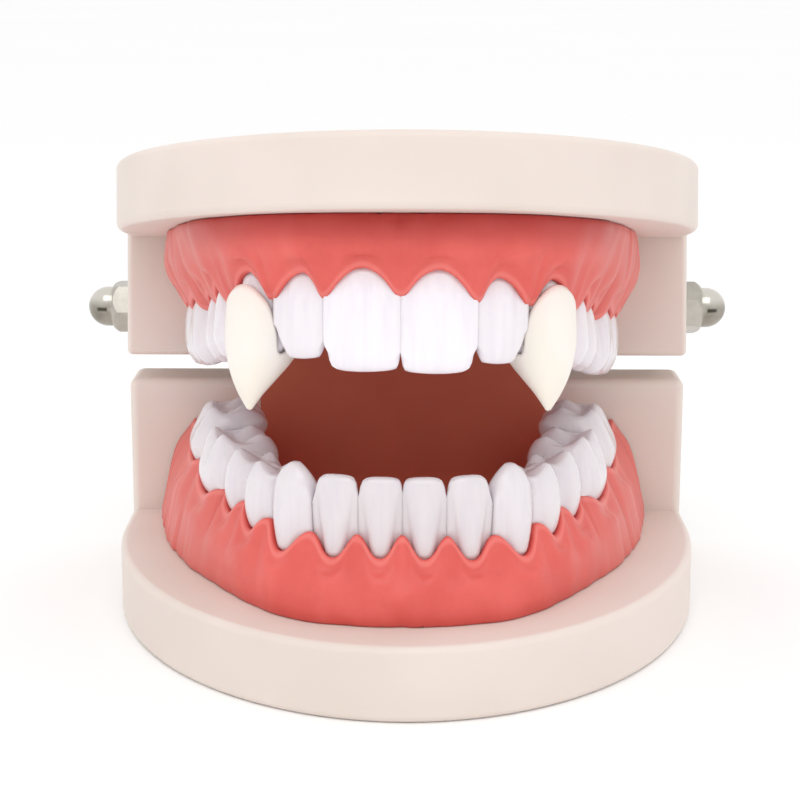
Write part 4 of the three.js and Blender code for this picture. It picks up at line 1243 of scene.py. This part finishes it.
def palate_outline():
    arch = arches["upper"]
    line = []
    for step in range(241):
        point, _ = arch.place((step / 120 - 1) * 0.97 * arch.length)
        line.append(Vector((point.x, min(point.y, -PALATE_SETBACK))))
    closed = line + [line[-1].lerp(line[0], step / 60) for step in range(1, 60)]
    turns = [math.atan2(p.y - vault_middle.y, p.x - vault_middle.x) for p in closed]
    outline = []
    for column in range(PALATE_COLUMNS):
        wanted = math.remainder(column / PALATE_COLUMNS * 2 * math.pi, 2 * math.pi)
        nearest = min(range(len(closed)), key=lambda i: abs(math.remainder(turns[i] - wanted, 2 * math.pi)))
        outline.append(closed[nearest])
    return outline


def vault_height(x, y, reach):
    up = PALATE + 3.4 * step_between(reach, 0.5, 0.95)
    front = step_between(-y, 22.0, 30.0) * (1 - step_between(reach, 0.78, 0.95))
    ridges = math.sin((-y + 0.045 * x * x) * 1.45 + 0.4 * math.sin(x * 0.8))
    up += 0.38 * front * max(0.0, ridges) * step_between(abs(x), 0.8, 2.5)
    up += 0.3 * math.exp(-(x / 0.7) ** 2) * (1 - step_between(reach, 0.7, 0.9))
    up += 0.7 * math.exp(-(x / 1.5) ** 2 - ((y + 40.0) / 2.4) ** 2)
    return up


outline = palate_outline()


def palate_rule(column, row):
    share = row / PALATE_ROWS
    reach = 2 * share if share < 0.5 else 2 * (1 - share)
    spot = vault_middle.lerp(outline[column], reach)
    up = 0.05 if share < 0.5 else vault_height(spot.x, spot.y, reach)
    return spot.x, spot.y, up


palate = skin("palate", PALATE_COLUMNS, PALATE_ROWS, palate_rule)
write_marks(palate, "margin", [0.0] * len(palate.data.vertices))
write_marks(palate, "fold", [0.45] * len(palate.data.vertices))
write_marks(palate, "shade", [0.0] * len(palate.data.vertices))
upper_gum = make_gum("upper")
choose(upper_gum)
palate.select_set(True)
bpy.ops.object.join()
upper_gum.matrix_world = upper_arch_frame
hand_over(upper_gum, "upper_gum_flesh", "upper_jaw", gum_pink, "gum_pink", 80, "upper_gum")

# %% [markdown]
# ## The vampire fang caps
# Each fang is a thin hollow cap that is pushed over the upper canine. Its outside is leaf shaped: rounded at
# the top, widest a third of the way down, then narrowing to a point that leans out towards the lips. Its open
# rim slants, high on the lip side and low beside the front teeth, so a corner of the real canine shows.
# The same ball trick works, with the skin running from the hollow's end, over the rim, to the tip.

# %% Fang tables
FANG_LENGTH = 16.8
FANG_TIP_OUT = 2.9
FANG_TIP_SIDEWAYS = 0.55
FANG_PLAY = 0.5
RIM_PLAY = 0.3
FANG_HALF_WIDTH = 4.8
FANG_HALF_DEPTH = 5.2
FANG_SECTIONS = [
    (.04, .80, .93, .97, .81), (.12, .88, 1.04, 1.04, .87), (.2, .92, 1.10, 1.08, .9),
    (.42, .94, 1.16, 1.10, .87), (.54, .86, 1.08, 1.08, .72), (.66, .71, .9, 1.03, .43),
    (.76, .55, .68, .96, .13), (.87, .36, .41, .83, -.21), (.95, .19, .19, .7, -.41),
    (1.0, .05, .05, .61, -.51),
]
RIM = [
    (-180, .36), (-120, .34), (-90, .30), (-60, .25), (-40, .205), (-28, .175), (-17, .14), (-7, .10),
    (3, .08), (14, .07), (25, .075), (38, .10), (49, .14), (60, .195), (67, .255), (73, .335), (78, .43),
    (83, .52), (90, .575), (100, .58), (120, .52), (150, .42), (180, .36),
]
FANG_COLUMNS = 96
FANG_ROWS = 72
HOLLOW_ROWS = 22
RIM_ROWS = 3


def rim_share(turn, side):
    """How far above the neck the open rim lies, as a share of the cap's length. 0 degrees is towards the lips
    and 90 degrees towards the front teeth."""
    return read_rows(RIM, math.degrees(math.atan2(-math.cos(turn) * side, -math.sin(turn))))[0]


def rounded(turn, half_width, half_depth):
    power = 2 / 2.1
    cos, sin = math.cos(turn), math.sin(turn)
    return (math.copysign(abs(cos) ** power, cos) * half_width,
            math.copysign(abs(sin) ** power, sin) * half_depth)


# %% Make both fangs
def make_fang(canine):
    heights = {}

    def outside(turn, share):
        rim = rim_share(turn, canine.side)
        up = rim + (1 - rim) * share
        mesial, distal, front, back = read_rows(FANG_SECTIONS, up)
        half_width, half_depth = (mesial + distal) / 2 * FANG_HALF_WIDTH, (front + back) / 2 * FANG_HALF_DEPTH
        x, y = rounded(turn, half_width, half_depth)
        x += canine.side * (distal - mesial) / 2 * FANG_HALF_WIDTH + FANG_TIP_SIDEWAYS * up ** 3
        return Vector((x, y - (front - back) / 2 * FANG_HALF_DEPTH, up * FANG_LENGTH))

    def inside(turn, share):
        rim = rim_share(turn, canine.side) * FANG_LENGTH
        crown = canine.edge - canine.cap_seat
        up = rim + (crown - rim) * share
        width, depth, lean = read_rows(SECTIONS["canine"], up / crown)
        play = RIM_PLAY + (FANG_PLAY - RIM_PLAY) * share
        x, y = rounded(turn, width * canine.width / 2 + play, depth * canine.depth / 2 + play)
        return Vector((x, y - lean * canine.depth, up))

    def rule(column, row):
        turn = column / FANG_COLUMNS * 2 * math.pi
        if row <= HOLLOW_ROWS:
            deep = 1 - row / HOLLOW_ROWS
            spot = inside(turn, min(deep, 0.96))
            if row == 0:
                spot = Vector((0, -0.1 * canine.depth, canine.edge - canine.cap_seat + FANG_PLAY))
            heights[(column, row)] = 0.0
            return spot
        if row <= HOLLOW_ROWS + RIM_ROWS:
            round_rim = (row - HOLLOW_ROWS) / (RIM_ROWS + 1)
            spot = inside(turn, 0).lerp(outside(turn, 0), round_rim)
            spot.z -= 0.12 * math.sin(math.pi * round_rim)
            heights[(column, row)] = 0.0
            return spot
        share = (row - HOLLOW_ROWS - RIM_ROWS) / (FANG_ROWS - HOLLOW_ROWS - RIM_ROWS)
        heights[(column, row)] = share
        if row == FANG_ROWS:
            return Vector((FANG_TIP_SIDEWAYS, -FANG_TIP_OUT, FANG_LENGTH))
        return outside(turn, share * (2 - share) * 0.5 + share * 0.5)

    return skin("fang", FANG_COLUMNS, FANG_ROWS, rule), heights


fang_order = columns_and_rows(FANG_COLUMNS, FANG_ROWS)
for canine in (tooth for tooth in teeth["upper"] if tooth.name == "canine"):
    side = "left" if canine.side > 0 else "right"
    fang, heights = make_fang(canine)
    write_marks(fang, "crown", [heights[key] for key in fang_order])
    seat = Matrix.Translation((0, 0, (canine.cap_seat - canine.neck) * MM))
    fang.matrix_world = upper_arch_frame @ seat @ canine.frame()
    hand_over(fang, f"vampire_fang_cap_{side}", "upper_jaw", fang_ivory, "fang_ivory", 70, f"fang_{side}")

# %% [markdown]
# ## The hinge rod and its dome nuts
# A steel rod runs across the back, and a dome nut closes each end. The nut is a six-sided cylinder whose
# outer corners are rounded off by cutting it with a ball, as a real nut's are turned off, and a half ball
# on a short neck for the dome.

# %% Rod and nuts
NUT_FLATS = 7.0
NUT_THICK = 2.8
DOME_RADIUS = 3.0
DOME_LENGTH = 3.9
NUT_TURN = {"left": 15.0, "right": -15.0}


def make_nut():
    """A dome nut that points along +Z, with its seat at the origin."""
    deselect_all()
    bpy.ops.mesh.primitive_cylinder_add(
        vertices=6, radius=NUT_FLATS / math.sqrt(3) * MM, depth=NUT_THICK * MM,
        location=(0, 0, NUT_THICK / 2 * MM),
    )
    nut = bpy.context.object
    bpy.ops.object.transform_apply(location=True, rotation=True, scale=True)
    bpy.ops.mesh.primitive_uv_sphere_add(
        segments=96, ring_count=64, radius=4.6 * MM, location=(0, 0, -0.35 * MM)
    )
    combine(nut, bpy.context.object, "INTERSECT")
    deselect_all()
    neck_top = NUT_THICK + DOME_LENGTH - DOME_RADIUS
    bpy.ops.mesh.primitive_uv_sphere_add(
        segments=64, ring_count=32, radius=DOME_RADIUS * MM, location=(0, 0, neck_top * MM)
    )
    dome = bpy.context.object
    bpy.ops.object.transform_apply(location=True, rotation=True, scale=True)
    pick(dome, "FACE", lambda corners: sum(c.z for c in corners) / len(corners) < neck_top)
    bpy.ops.mesh.delete(type="FACE")
    pick(dome, "EDGE", lambda corners: all(abs(c.z - neck_top) < 0.001 for c in corners))
    bpy.ops.mesh.extrude_region_move(TRANSFORM_OT_translate={"value": (0, 0, -(neck_top - 1) * MM)})
    bpy.ops.mesh.fill()
    bpy.ops.object.mode_set(mode="OBJECT")
    face_outwards(dome)
    combine(nut, dome, "UNION")
    return nut


EVEN_SHINE = 0.25


def mark_leaning(piece, dome_start):
    """Writes how far each point of the dome leans up and to the front, once the piece is in place. The flats
    below dome_start, in mm, mirror one even brightness each."""
    turned = piece.matrix_world.to_3x3()
    upwards, forwards = [], []
    for vertex in piece.data.vertices:
        lean = (turned @ vertex.normal).normalized()
        on_dome = vertex.co.z > dome_start * MM
        upwards.append(lean.z if on_dome else EVEN_SHINE)
        forwards.append(-lean.y if on_dome else 0.0)
    write_marks(piece, "upwards", upwards)
    write_marks(piece, "forwards", forwards)


for side, way in (("left", -1), ("right", 1)):
    nut = make_nut()
    to_side = Matrix.Rotation(way * math.pi / 2, 4, "Y")
    tightened = Matrix.Rotation(math.radians(NUT_TURN[side]), 4, "X")
    nut.matrix_world = upper_jaw @ Matrix.Translation((way * (half + GAP) * MM, 0, 0)) @ tightened @ to_side
    mark_leaning(nut, NUT_THICK + 0.1)
    hand_over(nut, f"acorn_nut_{side}", "upper_jaw", nickel, "nickel", 35, f"dome_nut_{side}")

deselect_all()
bpy.ops.mesh.primitive_cylinder_add(
    vertices=64, radius=ROD / 2 * MM, depth=(PLATE_WIDTH + 2) * MM, rotation=(0, math.pi / 2, 0)
)
rod = bpy.context.object
bpy.ops.object.transform_apply(location=True, rotation=True, scale=True)
pick(rod, "EDGE", lambda corners: abs(corners[0].x - corners[1].x) < 0.01)
bpy.ops.mesh.bevel(offset=0.4 * MM, segments=3, profile=0.5, affect="EDGES")
bpy.ops.object.mode_set(mode="OBJECT")
rod.matrix_world = upper_jaw
mark_leaning(rod, PLATE_WIDTH)
hand_over(rod, "steel_hinge_rod", "upper_jaw", nickel, "nickel", 35, "hinge_rod")

# %% [markdown]
# ## The sizes and the count of faces
# The dressed model has to keep the solids' size, so each piece printed how far it lies past its solid when it
# was handed over; this last cell counts the faces.

# %% Count the faces
print("faces in all:", sum(len(piece.data.polygons) for piece in pieces))
